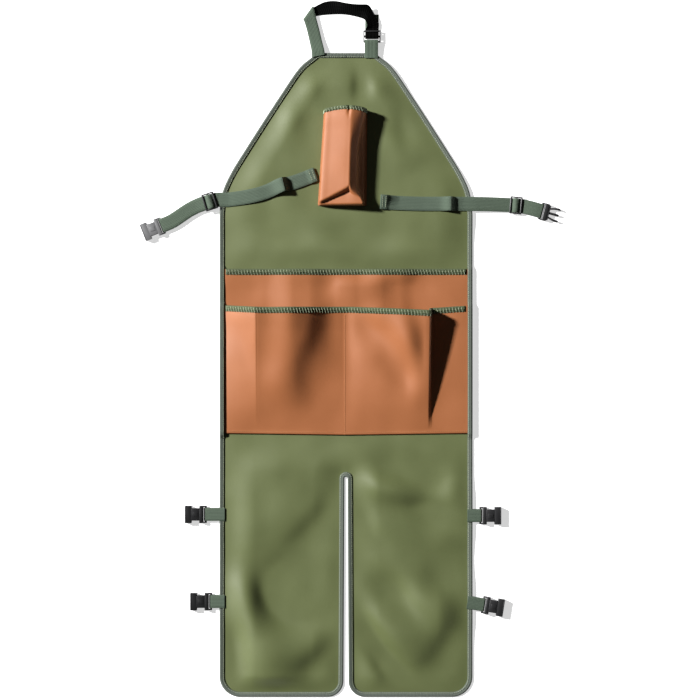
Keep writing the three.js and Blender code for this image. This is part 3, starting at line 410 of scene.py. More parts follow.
# Polyester canvas with a dull coat, olive green: it shines softly at low angles, and its colour hardly
# varies. Real threads are about half a millimetre apart; they are drawn 1.1 mm apart so that they show.
green_canvas = coated_cloth("green canvas", linear("515930"), linear("5f673c"), 0.6)


def unit(vectors):
    """Vectors scaled to a length of one."""
    return vectors / np.maximum(np.linalg.norm(vectors, axis=-1, keepdims=True), 1e-12)


def grid_faces(rows, columns, around=False):
    """The four-sided faces of a net of points, row by row, closed around its columns if asked."""
    last = columns if around else columns - 1
    row, column = np.meshgrid(np.arange(rows - 1), np.arange(last), indexing="ij")
    after = (column + 1) % columns
    corners = [row * columns + column, row * columns + after]
    corners += [(row + 1) * columns + after, (row + 1) * columns + column]
    return np.stack(corners, axis=-1).reshape(-1, 4)


def add_mesh(name, points, quads, material, more_faces=(), strip=None):
    """A mesh object from points in millimetres and four-sided faces, with the ends' wider faces."""
    mesh = bpy.data.meshes.new(name)
    sizes = np.full(len(quads), 4)
    loops = np.asarray(quads).reshape(-1)
    if len(more_faces):
        sizes = np.concatenate([sizes, [len(face) for face in more_faces]])
        loops = np.concatenate([loops, *[np.asarray(face) for face in more_faces]])
    mesh.vertices.add(len(points))
    mesh.vertices.foreach_set("co", (np.asarray(points) * MM).astype(np.float32).reshape(-1))
    mesh.loops.add(len(loops))
    mesh.loops.foreach_set("vertex_index", loops.astype(np.int32))
    mesh.polygons.add(len(sizes))
    mesh.polygons.foreach_set("loop_start", (np.cumsum(sizes) - sizes).astype(np.int32))
    mesh.polygons.foreach_set("use_smooth", np.full(len(sizes), True))
    if strip is not None:
        layer = mesh.uv_layers.new(name="strip")
        layer.uv.foreach_set("vector", (np.asarray(strip)[loops] * MM).astype(np.float32).reshape(-1))
    mesh.update(calc_edges=True)
    mesh.materials.append(material)
    piece = bpy.data.objects.new(name.replace(" ", "-"), mesh)
    scene.collection.objects.link(piece)
    return piece


def cloth(name, points, quads, thickness, material):
    """A closed cloth of even thickness over a net of points that is its back."""
    a, b, c, d = (points[quads[:, k]] for k in range(4))
    slopes = unit(np.cross(c - a, d - b))
    normals = np.zeros_like(points)
    for k in range(4):
        np.add.at(normals, quads[:, k], slopes)
    front = points + unit(normals) * thickness
    count = len(points)
    edges = np.concatenate([quads[:, [k, (k + 1) % 4]] for k in range(4)])
    codes = edges[:, 0].astype(np.int64) * count + edges[:, 1]
    back_codes = edges[:, 1].astype(np.int64) * count + edges[:, 0]
    rim = edges[~np.isin(codes, back_codes)]
    rim_faces = np.stack([rim[:, 1], rim[:, 0], rim[:, 0] + count, rim[:, 1] + count], axis=-1)
    faces = np.vstack([quads + count, quads[:, ::-1], rim_faces[:, ::-1]])
    return add_mesh(name, np.vstack([points, front]), faces, material)


def done(piece, node_names):
    """The piece moves with the apron and stands for its CAD solids, which are hidden."""
    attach(piece, "root")
    if node_names:
        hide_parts(*node_names)
    return piece


def corner_moved(a, b, radius):
    """Distances from two edges, moved from a square corner onto a round one."""
    depth = np.minimum(a, b)
    arc = np.maximum(radius - depth, 1e-9)
    along = np.maximum(a, b) - depth
    angle = math.pi / 4 * (1 + np.minimum(along / arc, 1))
    far = radius - arc * np.cos(angle)
    near = radius - arc * np.sin(angle)
    inside = (radius > depth) & (along < arc)
    return np.where(inside, np.where(a >= b, far, near), a), np.where(inside, np.where(a >= b, near, far), b)


ROWS = 330
SIDE_COLUMNS = 62
slit_row = int(ROWS * SLIT_TOP)
upper = np.linspace(0, SLIT_TOP, slit_row)
step_down = SLIT_HALF_TOP / PANEL_LENGTH
apex = SLIT_TOP + step_down * (1 - np.cos(np.linspace(0.25, 1, 5) * math.pi / 2))
lower = np.linspace(SLIT_TOP + step_down, 1, ROWS - slit_row - 4)[1:]
row_down = np.concatenate([upper, apex, lower])
inner_edge = np.where(
    row_down <= SLIT_TOP,
    0,
    np.where(
        row_down < SLIT_TOP + step_down,
        SLIT_HALF_TOP * np.sqrt(np.clip(1 - (1 - (row_down - SLIT_TOP) / step_down) ** 2, 0, 1)),
        slit_half(row_down),
    ),
)
outer_edge = half_width(row_down)
share = np.linspace(0, 1, SIDE_COLUMNS)[None, :]
x_net = inner_edge[:, None] + share * (outer_edge - inner_edge)[:, None]
foot_net = np.broadcast_to((1 - row_down)[:, None] * PANEL_LENGTH, x_net.shape)
side_x, side_foot = corner_moved(outer_edge[:, None] - x_net, foot_net, OUTER_CORNER)
slit_x, slit_foot = corner_moved(x_net - inner_edge[:, None], foot_net, INNER_CORNER)
near_slit = (share < 0.5) & (row_down[:, None] > 0.9)
x_half = np.where(near_slit, inner_edge[:, None] + slit_x, outer_edge[:, None] - side_x)
y_half = np.where(near_slit, slit_foot, side_foot) - TOP


def panel_half(side):
    """The points of one half of the panel, row by row from the middle outward."""
    x = side * x_half
    return np.stack([x, y_half, panel_back(x, y_half)], axis=-1).reshape(-1, 3)


faces = grid_faces(ROWS, SIDE_COLUMNS)
points = np.vstack([panel_half(1), panel_half(-1)])
shared = np.arange(len(points))
joined_rows = np.nonzero(row_down <= SLIT_TOP)[0]
shared[ROWS * SIDE_COLUMNS + joined_rows * SIDE_COLUMNS] = joined_rows * SIDE_COLUMNS
left_faces = faces + ROWS * SIDE_COLUMNS
panel_faces = shared[np.vstack([faces[:, ::-1], left_faces])]
used, panel_faces = np.unique(panel_faces, return_inverse=True)
panel_faces = panel_faces.reshape(-1, 4)
panel = cloth("apron panel", points[used], panel_faces, PANEL_CLOTH, green_canvas)
done(panel, ["apron_panel"])


# The binding: grosgrain tape folded over the whole edge of the panel, round both legs and up the slit.
# It lies over the sides of the pockets too, which are caught under it, and one line of pale stitches
# runs along its inner edge.

TAPE_COVER = 7.7
BACK_POCKET_TOP = 0.3356
FRONT_POCKET_TOP = 0.3926
POCKET_BOTTOM = 0.5903
POCKET_CLOTH = 1.0
BACK_TAPE_ROOM = 1.6
FRONT_TAPE_ROOM = 1.4
THREAD_RADIUS = 0.34
SEAM_INSET = 1.6
BINDING_STITCH = (3.6, 2.6)
FIBRE_SIZE = 10 / 9 * MM
RIB_HEIGHT = 0.3 * MM


def ribbed_tape(name, base, hollow_shade, rib, cord, gloss=0.3):
    """Woven tape: the sine of the distance along plus the sine of that across, with painted shade in the
    hollows between its ribs.
    """
    material, shader = new_material(name, 0.75, sheen=gloss / 6, specular=gloss)
    place = node(material, "ShaderNodeUVMap", uv_map="strip").outputs["UV"]
    both = crossed_waves(material, place, (rib, cord), "ADD")
    shade_range = {"Value": both, "From Min": -2, "From Max": 1.2}
    shade = node(material, "ShaderNodeMapRange", shade_range)
    fleck = node(material, "ShaderNodeTexNoise", {"Vector": place, "Scale": 1 / FIBRE_SIZE, "Detail": 2})
    flecked = {0: shade.outputs[0], 1: fleck.outputs["Fac"]}
    mixed = node(material, "ShaderNodeMath", flecked, operation="MULTIPLY")
    # The colour runs from the painted shade of the rib hollows to the base colour on the rib crests
    colour = node(material, "ShaderNodeMix", {0: mixed.outputs[0], 6: hollow_shade, 7: base}, data_type="RGBA")
    rib_height = {"Height": both, "Strength": 0.5, "Distance": RIB_HEIGHT}
    bump = node(material, "ShaderNodeBump", rib_height)
    material.node_tree.links.new(colour.outputs[2], shader.inputs["Base Color"])
    material.node_tree.links.new(bump.outputs["Normal"], shader.inputs["Normal"])
    return material


# Grosgrain is a dull ribbed tape of polyester, grey green here. Its ribs are drawn 2.4 mm apart along it
# and 4 mm across, coarser than the real ones, so that they show as a fine grain.
GROSGRAIN_RIB = 2.4 * MM
GROSGRAIN_CORD = 4 * MM
edge_grosgrain = ribbed_tape(
    "edge grosgrain",
    linear("666c62"),
    linear("4d544c"),
    GROSGRAIN_RIB,
    GROSGRAIN_CORD,
)


def sewing_thread(name, hexa):
    """Spun polyester thread: dull and even in colour."""
    material, shader = new_material(name, 0.8)
    shader.inputs["Base Color"].default_value = linear(hexa)
    return material


# Pale green thread, which stands out as fine light dashes on the tapes and straps
pale_thread = sewing_thread("pale thread", "a9b296")


def distances(line):
    """The distance along a line to each of its points."""
    steps = np.linalg.norm(np.diff(line, axis=0), axis=1)
    return np.concatenate([[0], np.cumsum(steps)])


def strip_mesh(name, sections, material, closed=False):
    """A swept strip from its cross-sections, with its length and girth kept for its weave."""
    rows, count, _ = sections.shape
    points = sections.reshape(-1, 3)
    quads = grid_faces(rows, count, around=True)
    if closed:
        last = (rows - 1) * count
        join = [[last + k, last + (k + 1) % count, (k + 1) % count, k] for k in range(count)]
        quads = np.vstack([quads, join])
    caps = [] if closed else [list(range(count))[::-1], [(rows - 1) * count + k for k in range(count)]]
    along = distances(sections.mean(axis=1))
    around = distances(sections[rows // 2])
    strip = np.stack(np.broadcast_arrays(along[:, None], around[None, :]), axis=-1).reshape(-1, 2)
    a, b, c = points[quads[:, 0]], points[quads[:, 1]], points[quads[:, 2]]
    if (a * np.cross(b, c)).sum() < 0:
        quads = quads[:, ::-1]
        caps = [cap[::-1] for cap in caps]
    return add_mesh(name, points, quads, material, caps, strip)


def folded_tape(edge, inner, ups, outward, stack):
    """The sections of a tape folded over an edge: a leg behind, a round fold, and a leg in front."""
    sections = []
    half = stack / 2
    centre = edge + ups * half[:, None]
    for angle in np.linspace(-90, 90, 7):
        turn = math.radians(angle)
        reach = (GAP + TAPE) * math.cos(turn)
        rise = (half + GAP + TAPE) * math.sin(turn)
        sections.append(centre + outward * reach + ups * rise[:, None])
    outer = [inner - ups * (GAP + TAPE), *sections]
    outer.append(inner + ups * (stack + GAP + TAPE)[:, None])
    inside = [inner + ups * (stack + GAP * 0.4)[:, None]]
    for angle in (90, 45, 0, -45, -90):
        turn = math.radians(angle)
        rise = (half + GAP) * math.sin(turn)
        inside.append(centre + outward * (GAP * math.cos(turn)) + ups * rise[:, None])
    inside.append(inner - ups * GAP * 0.4)
    return np.stack([*outer, *inside], axis=1)


def stitches(name, starts, ends, normals, radius, material):
    """Short threads from start to end points, each a sunk arch of five-sided section."""
    middle_share = np.array([0, 0.18, 0.5, 0.82, 1])
    lift = np.array([-0.5, 0.35, 0.75, 0.35, -0.5]) * radius * 2
    around = np.linspace(0, TURN, 5, endpoint=False)
    ahead = unit(ends - starts)
    up = unit(np.broadcast_to(normals, starts.shape))
    side = unit(np.cross(ahead, up))
    line = starts[:, None] + (ends - starts)[:, None] * middle_share[None, :, None]
    line = line + up[:, None] * lift[None, :, None]
    ring = side[:, None, None] * np.cos(around)[None, None, :, None]
    ring = ring + up[:, None, None] * np.sin(around)[None, None, :, None]
    points = (line[:, :, None] + ring * radius).reshape(-1, 3)
    one = grid_faces(5, 5, around=True)
    shifts = (np.arange(len(starts)) * 25)[:, None, None]
    quads = (one[None] + shifts).reshape(-1, 4)
    piece = add_mesh(name, points, quads[:, ::-1], material)
    return done(piece, [])


def along_line(line, spacing, length):
    """Starts and ends of stitches of a length at even spacings along a line."""
    reach = distances(line)
    begin = np.arange(spacing / 2, reach[-1] - length, spacing)

    def at(distance):
        return np.stack([np.interp(distance, reach, line[:, k]) for k in range(3)], axis=-1)

    return at(begin), at(begin + length)


def edge_line(inset):
    """The outline of the panel moved inward, once round, starting at the top middle."""
    column = SIDE_COLUMNS - 1
    half = []
    top_x = np.linspace(0, 1, 14)[:-1] * x_half[0, column]
    half.append(np.stack([top_x, np.full(13, TOP)], axis=-1))
    half.append(np.stack([x_half[:, column], y_half[:, column]], axis=-1))
    half.append(np.stack([x_half[-1, ::-1], y_half[-1, ::-1]], axis=-1)[1:])
    half.append(np.stack([x_half[::-1, 0], y_half[::-1, 0]], axis=-1)[1 : ROWS - slit_row])
    right = np.vstack(half)
    left = right[::-1] * [-1, 1]
    line = np.vstack([right, left[1:-1]])
    keep = np.concatenate([[True], np.linalg.norm(np.diff(line, axis=0), axis=1) > 0.2])
    line = line[keep]
    ahead = unit(np.roll(line, -1, axis=0) - np.roll(line, 1, axis=0))
    inward = np.stack([ahead[:, 1], -ahead[:, 0]], axis=-1)
    return line, line + inward * inset, -inward


outline, tape_inner, outward_flat = edge_line(TAPE_COVER)
down_line = (TOP - outline[:, 1]) / PANEL_LENGTH
on_side = np.abs(np.abs(outline[:, 0]) - HALF_WIDTH) < 1
back_cover = smooth(BACK_POCKET_TOP - 0.006, BACK_POCKET_TOP - 0.001, down_line)
front_cover = smooth(FRONT_POCKET_TOP - 0.006, FRONT_POCKET_TOP - 0.001, down_line)
pocket_end = fade(POCKET_BOTTOM + 0.002, POCKET_BOTTOM + 0.008, down_line)
cover = back_cover * (POCKET_CLOTH + BACK_TAPE_ROOM) + front_cover * (POCKET_CLOTH + FRONT_TAPE_ROOM)
stack = PANEL_CLOTH + np.where(on_side, cover * pocket_end, 0)
up = np.array([0.0, 0.0, 1.0])
edge_points = np.column_stack([outline, panel_back(outline[:, 0], outline[:, 1])])
inner_points = np.column_stack([tape_inner, panel_back(tape_inner[:, 0], tape_inner[:, 1])])
outward = np.column_stack([outward_flat, np.zeros(len(outward_flat))])
tape_sections = folded_tape(edge_points, inner_points, up, outward, stack)
binding = strip_mesh("edge binding", tape_sections, edge_grosgrain, closed=True)
done(binding, ["edge_binding"])
seam = inner_points + outward * SEAM_INSET + up * (stack + GAP + TAPE)[:, None]
starts, ends = along_line(np.vstack([seam, seam[:1]]), *BINDING_STITCH)
stitches("binding stitches", starts, ends, up, THREAD_RADIUS, pale_thread)


# The back pocket: one brown canvas across the apron, sewn to the panel at its sides and foot and in the
# middle, and open at the top. It bulges a little in each half and has shallow dents below its rim.

BACK_POCKET_DEPTH = 7
TRIM_COVER = 9
POCKET_EDGE = HALF_WIDTH - 1
FOOT_SAG = 3

# Where each half bulges, out from the middle and down, as shares, and over which distance below the rim
# its dents begin and over which share they end
BULGE_BEGINS = (0.08, 0.3)
BULGE_ENDS = (0.42, 0.64)
BULGE_DOWN = (0.22, 0.68)
DENTS_BEGIN = (0, 30)
DENTS_END = (0.8, 0.98)

# The same coated canvas in brown, a little less glossy
brown_canvas = coated_cloth("brown canvas", linear("93562c"), linear("9f6036"), 0.5)

back_length = (POCKET_BOTTOM - BACK_POCKET_TOP) * PANEL_LENGTH

# Its dents: x and y, width and length in millimetres, turn in degrees, and slope
BACK_SLOPES = [
    (-22, 150, 18, 34, -30, 0.2),
    (54, 146, 34, 30, 30, -0.22),
    (136, 146, 22, 26, 0, 0.12),
    (-150, 146, 30, 28, 20, 0.12),
]


def trim_room(below):
    """Room behind a pocket's rim for the tape folded over it."""
    return GAP + (TAPE + GAP) * fade(TRIM_COVER + 3, 40, below)


def back_pocket_back(x, y):
    """Height of the back of the back pocket over the floor."""
    share_out = np.abs(x) / HALF_WIDTH
    below = down_to(BACK_POCKET_TOP) - y
    bulge = smooth(*BULGE_BEGINS, share_out) * fade(*BULGE_ENDS, share_out)
    bulge = bulge * fade(*BULGE_DOWN, below / back_length)
    dents = tilted(BACK_SLOPES, x, y) * smooth(*DENTS_BEGIN, below) * fade(*DENTS_END, share_out)
    return panel_front(x, y) + trim_room(below) + softly_above(BACK_POCKET_DEPTH * bulge + dents, 1)


def back_pocket_front(x, y):
    """Height of the front of the back pocket over the floor."""
    return back_pocket_back(x, y) + POCKET_CLOTH


def pocket(name, net, node_name):
    """A pocket of brown canvas over a net of points that is its back."""
    faces = grid_faces(*net.shape[:2])[:, ::-1]
    piece = cloth(name, net.reshape(-1, 3), faces, POCKET_CLOTH, brown_canvas)
    return done(piece, [node_name])


back_x = np.linspace(-POCKET_EDGE, POCKET_EDGE, 150)[None, :]
back_down = np.linspace(0, 1, 100)[:, None]
back_drop = back_down * (back_length + FOOT_SAG * (1 - np.abs(back_x) / HALF_WIDTH))
back_y = down_to(BACK_POCKET_TOP) - back_drop
back_x = np.broadcast_to(back_x, back_y.shape)
back_net = np.stack([back_x, back_y, back_pocket_back(back_x, back_y)], axis=-1)
back_pocket = pocket("back pocket", back_net, "back_pocket")


# The front pocket: one wide brown canvas in front of the back pocket, pleated so that each half stands
# proud of it, and sewn down at its sides under the binding and at its foot and the middle by lines of brown
# thread. The left half slopes up from its side; the right half ends in a steep fold that is tucked under.

FRONT_POCKET_DEPTH = 31
FRONT_RIM_DROP = 8
MIDDLE_SEAM = -2
POCKET_STITCH = (3.4, 2.5)

# Over which rise its dents begin, over which share across they end, and the least rise that they leave
DENTS_BY_RISE = (0, 16)
DENTS_STOP = (0.46, 0.62)
LEAST_RISE = 0.25

# Across the rim: where, how proud it stands, how far it drops, and how far the fold is tucked under
FRONT_RIM = [
    (-0.9953, 0, 0, 0),
    (-0.958, 0, 0, 0),
    (-0.93, 0.1, 0, 0),
    (-0.83, 0.55, 0.16, 0),
    (-0.725, 0.97, 0.32, 0),
    (-0.7, 1, 0.35, 0),
    (-0.66, 0.97, 0.38, 0),
    (-0.54, 0.88, 0.38, 0),
    (-0.43, 0.76, 0.36, 0),
    (-0.34, 0.58, 0.34, 0),
    (-0.23, 0.32, 0.32, 0),
    (-0.14, 0.14, 0.3, 0),
    (-0.05, 0.03, 0.27, 0),
    (-0.01, 0, 0.27, 0),
    (0.04, 0.04, 0.27, 0),
    (0.14, 0.28, 0.38, 0),
    (0.28, 0.54, 0.54, 0),
    (0.44, 0.78, 0.76, 0),
    (0.58, 0.95, 0.92, 0),
    (0.64, 1, 1, 0),
    (0.652, 0.94, 1, -0.012),
    (0.664, 0.6, 0.81, -0.002),
    (0.676, 0.28, 0.65, 0.014),
    (0.69, 0.03, 0.54, 0.012),
    (0.75, 0, 0.43, 0),
    (0.86, 0, 0.22, 0),
    (0.958, 0, 0.08, 0),
    (0.9953, 0, 0.08, 0),
]

# Down the pocket: where, and how much of its height is left
FRONT_FALL = [
    (0, 1),
    (0.045, 0.985),
    (0.16, 0.9),
    (0.32, 0.74),
    (0.48, 0.56),
    (0.64, 0.38),
    (0.79, 0.2),
    (0.9, 0.07),
    (0.97, 0),
    (1, 0),
]

# Its dents: x and y, width and length in millimetres, turn in degrees, and slope
POCKET_SLOPES = [
    (-118, 20, 32, 80, 0, 0.2),
    (-62, 52, 28, 60, -20, -0.13),
    (-60, -40, 24, 52, 26, -0.24),
    (-22, -20, 14, 46, 0, 0.1),
    (86, 62, 26, 62, 54, 0.3),
    (62, 8, 20, 54, 50, -0.14),
    (112, -16, 22, 70, 6, 0.16),
    (16, -78, 16, 34, 20, -0.16),
]


rim = rounded(FRONT_RIM, 7)
rim[:, 1] = np.clip(rim[:, 1], 0, 1.01)
fall_down = np.linspace(0, 1, 110)
fall_table = rounded(FRONT_FALL, 12)
fall_left = np.clip(np.interp(fall_down, fall_table[:, 0], fall_table[:, 1]), 0, 1)[:, None]
rim_across, rim_rise, rim_drop, rim_tuck = rim.T[:, None, :]
front_x = (rim_across - rim_tuck * fall_left) * HALF_WIDTH
front_start = down_to(FRONT_POCKET_TOP) - rim_drop * FRONT_RIM_DROP
front_end = down_to(POCKET_BOTTOM) - FOOT_SAG * (1 - np.abs(rim_across))
front_y = front_start + fall_down[:, None] * (front_end - front_start)
below_rim = fall_down[:, None] * (front_start - front_end)
front_rest = back_pocket_front(front_x, front_y) + trim_room(below_rim)
front_rise = rim_rise * fall_left * FRONT_POCKET_DEPTH
room = smooth(*DENTS_BY_RISE, front_rise) * fade(*DENTS_STOP, front_x / HALF_WIDTH)
dented = front_rise + tilted(POCKET_SLOPES, front_x, front_y) * room
front_z = front_rest + np.maximum(dented, LEAST_RISE * front_rise)
front_net = np.stack([front_x, front_y, front_z], axis=-1)
front_pocket = pocket("front pocket", front_net, "front_pocket")

# Brown thread, close to the cloth's own colour, so the seams show mostly as fine dashes of light
brown_thread = sewing_thread("brown thread", "b57a4e")
middle_column = int(np.argmin(np.abs(front_x[0] - MIDDLE_SEAM)))
seams = {"middle": front_net[6:, middle_column], "foot": front_net[-3, 6:-6]}
for label, seam in seams.items():
    begin, finish = along_line(seam + up * POCKET_CLOTH, *POCKET_STITCH)
    stitches(f"front pocket {label} stitches", begin, finish, up, THREAD_RADIUS, brown_thread)


# The pocket tapes: green grosgrain folded over the rims of the back and front pockets, from binding to
# binding. Pale whip stitches slant up its whole face, one every 5 mm.

WHIP_SPACING = 5.2

# A darker and greener grosgrain than the binding's
rim_grosgrain = ribbed_tape(
    "rim grosgrain",
    linear("606a49"),
    linear("39422b"),
    GROSGRAIN_RIB,
    GROSGRAIN_CORD,
)


def net_normals(net):
    """The upward normals of a net of points."""
    across = np.gradient(net, axis=1)
    along = np.gradient(net, axis=0)
    return unit(np.cross(across, -along))


def rim_tape(name, net, thickness, skip, reach, node_name):
    """Grosgrain folded over the top edge of a pocket, with slanted whip stitches through it."""
    normals = net_normals(net)[0]
    last = net.shape[1] - skip
    edge = net[0, skip:last]
    below = net[3, skip:last]
    normals = normals[skip:last]
    outward = unit(edge - below)
    inner = edge - outward * reach
    thick = np.full(len(edge), thickness)
    tape = strip_mesh(name, folded_tape(edge, inner, normals, outward, thick), rim_grosgrain)
    done(tape, [node_name])
    surface = inner + normals * (thickness + GAP + TAPE)
    low, _ = along_line(surface - outward * 0.8, WHIP_SPACING, 1)
    high, _ = along_line(surface + outward * reach * 0.95, WHIP_SPACING, 1)
    count = min(len(low), len(high))
    shares = np.linspace(0, 1, count)
    known = np.linspace(0, 1, len(normals))
    ups = np.stack([np.interp(shares, known, normals[:, k]) for k in range(3)], axis=-1)
    before = np.vstack([high[:1], high[: count - 1]])
    stitches(name + " stitches", low[:count], (high[:count] + before) / 2, ups, THREAD_RADIUS, pale_thread)


rim_tape("back pocket trim", back_net, POCKET_CLOTH, 3, TRIM_COVER, "back_pocket_trim")
rim_tape("front pocket trim", front_net, POCKET_CLOTH, 8, TRIM_COVER, "front_pocket_trim")


# The chest pocket: a brown canvas pouch on the bib, leaning a little, sewn on at its sides and foot and
# open at the top, where grosgrain is folded over its rim. Its face rises to the right and ends in a steep
# tucked side, its foot is folded under at a slant, and a small pleat pulls in the middle of its rim.

CHEST_POCKET_DEPTH = 28
CHEST_X = -3.2
CHEST_TOP = 0.0895
CHEST_BOTTOM = 0.2368
CHEST_TILT = -2.1
CHEST_TOP_HALF = 36.5
CHEST_BOTTOM_HALF = 41
CHEST_TRIM_COVER = 6
RIM_ARCH = 5
PLEAT_DEPTH = 5
PLEAT = {"across": 0.16, "wide": 0.07, "long": 0.07}

# Across the pouch: where, how proud the face stands there, and how far the side is tucked under
CHEST_ACROSS = [
    (-1, 0, 0),
    (-0.975, 0.06, 0),
    (-0.95, 0.42, 0),
    (-0.9, 0.66, 0),
    (-0.6, 0.79, 0),
    (-0.3, 0.92, 0),
    (0, 1.04, 0),
    (0.2, 1.1, 0),
    (0.32, 1.11, 0),
    (0.5, 1.06, 0),
    (0.7, 0.96, 0),
    (0.84, 0.82, -0.01),
    (0.9, 0.58, -0.02),
    (0.93, 0.3, -0.01),
    (0.95, 0.08, 0.05),
    (0.97, 0.01, 0.03),
    (1, 0, 0),
]

# Down the pouch: where, how much of its height is left, and how far its right side is drawn in
CHEST_FALL = [
    (0, 0.92, 0),
    (0.045, 0.95, 1),
    (0.15, 0.99, 5),
    (0.35, 1, 11),
    (0.5, 0.99, 12.5),
    (0.8, 0.95, 12.5),
    (0.9, 0.92, 8),
    (1, 0.9, 2),
]

# Where the foot folds under: across the pouch, and how far down it
GUSSET = [
    (-1, 0.975),
    (-0.9, 0.965),
    (0.3, 0.8),
    (0.86, 0.9),
    (1, 0.97),
]

chest_length = (CHEST_BOTTOM - CHEST_TOP) * PANEL_LENGTH
pouch = rounded(CHEST_ACROSS, 6)
pouch[:, 1] = np.clip(pouch[:, 1], 0, 1.14)
pouch_across, pouch_proud, pouch_tuck = pouch.T[:, None, :]
chest_down = np.linspace(0, 1, 90)[:, None]
chest_table = rounded(CHEST_FALL, 8)
gusset_table = np.array(GUSSET, float)
gusset = np.interp(pouch_across, gusset_table[:, 0], gusset_table[:, 1])
face_left = np.interp(np.minimum(chest_down, gusset), chest_table[:, 0], chest_table[:, 1])
past_gusset = np.clip((chest_down - gusset) / (1 - gusset), 0, 1)
chest_left = face_left * fade(0.94, 1, past_gusset)
folded_foot = (0.66 + 0.26 * pouch_across) * smooth(-1, -0.9, pouch_across) * fade(0.88, 0.95, pouch_across)
folded_share = smooth(0, 0.28, past_gusset)
pouch_rise = (1 - folded_share) * pouch_proud + folded_share * folded_foot
chest_half = CHEST_TOP_HALF + chest_down * (CHEST_BOTTOM_HALF - CHEST_TOP_HALF)
arch = RIM_ARCH * (1 - pouch_across**2) * (1 - chest_down)
lean = math.tan(math.radians(CHEST_TILT))
chest_x = CHEST_X + lean * (chest_down - 0.5) * chest_length
chest_x = chest_x + (pouch_across - pouch_tuck * chest_left) * chest_half
pinch = np.interp(chest_down, chest_table[:, 0], chest_table[:, 2])
chest_x = chest_x - pinch * smooth(0.1, 0.8, pouch_across) * smooth(0.05, 0.5, pouch_proud)
chest_y = down_to(CHEST_TOP) + arch - chest_down * (chest_length + arch)
chest_z = panel_front(chest_x, chest_y) + trim_room(chest_down * chest_length)
chest_z = chest_z + pouch_rise * chest_left * CHEST_POCKET_DEPTH
beside_pleat = (pouch_across - PLEAT["across"]) / PLEAT["wide"]
chest_z = chest_z - PLEAT_DEPTH * np.exp(-(beside_pleat**2) - (chest_down / PLEAT["long"]) ** 2)
chest_net = np.stack([chest_x, chest_y, chest_z], axis=-1)
chest_pocket = pocket("chest pocket", chest_net, "chest_pocket")
rim_tape("chest pocket trim", chest_net, POCKET_CLOTH, 0, CHEST_TRIM_COVER, "chest_pocket_trim")


# The waist straps: green webbing, sewn on under the edge of the panel, out along the floor to the bar of
# a buckle half, round it, back through a slider and loose over the bib, where each lifts in one kink.
# Two rows of pale stitches hold the hem at the free end.

WAIST_STRAP = 24
BAR = 3.4
BAR_HEIGHT = WEBBING + BAR / 2 + GAP
LOOP_RADIUS = BAR / 2 + GAP + WEBBING / 2
SLIDER_THICKNESS = 2.6
ON_TAPE = EDGE_REST + STRAP_REST + PANEL_CLOTH + GAP + TAPE + GAP + WEBBING / 2
ON_FLOOR = WEBBING / 2
HEM_SEAMS = (3.5, 9)
HEM_FOLD = 8.5
HEM_END = (9, 16)
HEM_RISE = 1.8
SLIDER_SLOT = 6.9
SLIDER_CREST = 2.4
HEM_THREAD_RADIUS = 0.4
HEM_STITCH = (3.4, 2.6)

# Polypropylene webbing, green and a little shiny. Its twill is drawn 1.7 by 2.4 mm, which the render shows
# as a fine grain.
WEBBING_RIB = 1.7 * MM
WEBBING_CORD = 2.4 * MM
green_webbing = ribbed_tape("green webbing", linear("63725f"), linear("414e42"), WEBBING_RIB, WEBBING_CORD)

# Each strap: its route from the free end, its slider's place and height, how far its hem curls up on one
# side, and its kink: where, how high, and its spread before and after
WAIST_LEFT = [
    (-51.5, 340.5),
    (-87, 327),
    (-110, 321.5),
    (-137, 310),
    (-164, 302.8),
    (-199, 297.8),
    (-219, 297.6),
    (-233, 293.6),
    (-247, 289.6),
    (-266, 280.5),
    (-289, 265),
    (-300, 258.8),
    (-312, 254),
]
WAIST_RIGHT = [
    (58.5, 293.5),
    (94, 291.5),
    (134, 290.5),
    (177, 290.5),
    (208, 290.5),
    (245, 290),
    (288, 288),
    (309, 284.5),
    (331, 278.5),
]
WAIST = {
    "left": {
        "route": WAIST_LEFT,
        "slider": 187,
        "height": 9,
        "curl": 0,
        "kink": {"along": 57, "high": 11, "before": 4, "after": 15},
    },
    "right": {
        "route": WAIST_RIGHT,
        "slider": 230,
        "height": 5.4,
        "curl": 9,
        "kink": {"along": 119, "high": 7, "before": 11, "after": 5},
    },
}


def eased(rows, times):
    """A line with its corners cut a quarter of the way along, a number of times, its ends kept."""
    rows = np.asarray(rows, float)
    for _ in range(times):
        early = 0.75 * rows[:-1] + 0.25 * rows[1:]
        late = 0.25 * rows[:-1] + 0.75 * rows[1:]
        cut = np.empty((2 * len(early), rows.shape[1]))
        cut[0::2] = early
        cut[1::2] = late
        rows = np.vstack([rows[:1], cut, rows[-1:]])
    return rows


def flat_section(width, thickness):
    """The corners of a strap's rounded section, as across and up."""
    half = width / 2
    rise = thickness / 2
    steps = np.linspace(-half + 0.5, half - 0.5, 6)
    low = [(x, -rise) for x in steps]
    high = [(x, rise) for x in steps[::-1]]
    right = [(half - 0.1, -rise * 0.6), (half, 0), (half - 0.1, rise * 0.6)]
    left = [(-half + 0.1, rise * 0.6), (-half, 0), (-half + 0.1, -rise * 0.6)]
    return np.array([*low, *right, *high, *left])


def strap_sections(lefts, rights, thickness):
    """The sections of a strap between matching points of its two edges."""
    middles = (lefts + rights) / 2
    across = rights - lefts
    width = np.linalg.norm(across, axis=1, keepdims=True)
    across = across / width
    ahead = np.gradient(middles, axis=0)
    up = unit(np.cross(across, ahead))
    wide = flat_section(float(width.mean()), thickness)
    share = wide[:, 0] / float(width.mean())
    return (
        middles[:, None, :]
        + across[:, None, :] * (share[None, :, None] * width[:, :, None])
        + up[:, None, :] * wide[None, :, 1, None]
    )


def turn_round(along, height, radius, start, end, steps):
    """Points of a turn in a strap's profile, by angles round a middle."""
    angles = np.radians(np.linspace(start, end, steps + 1))
    return [(along + radius * math.cos(a), height + radius * math.sin(a)) for a in angles]


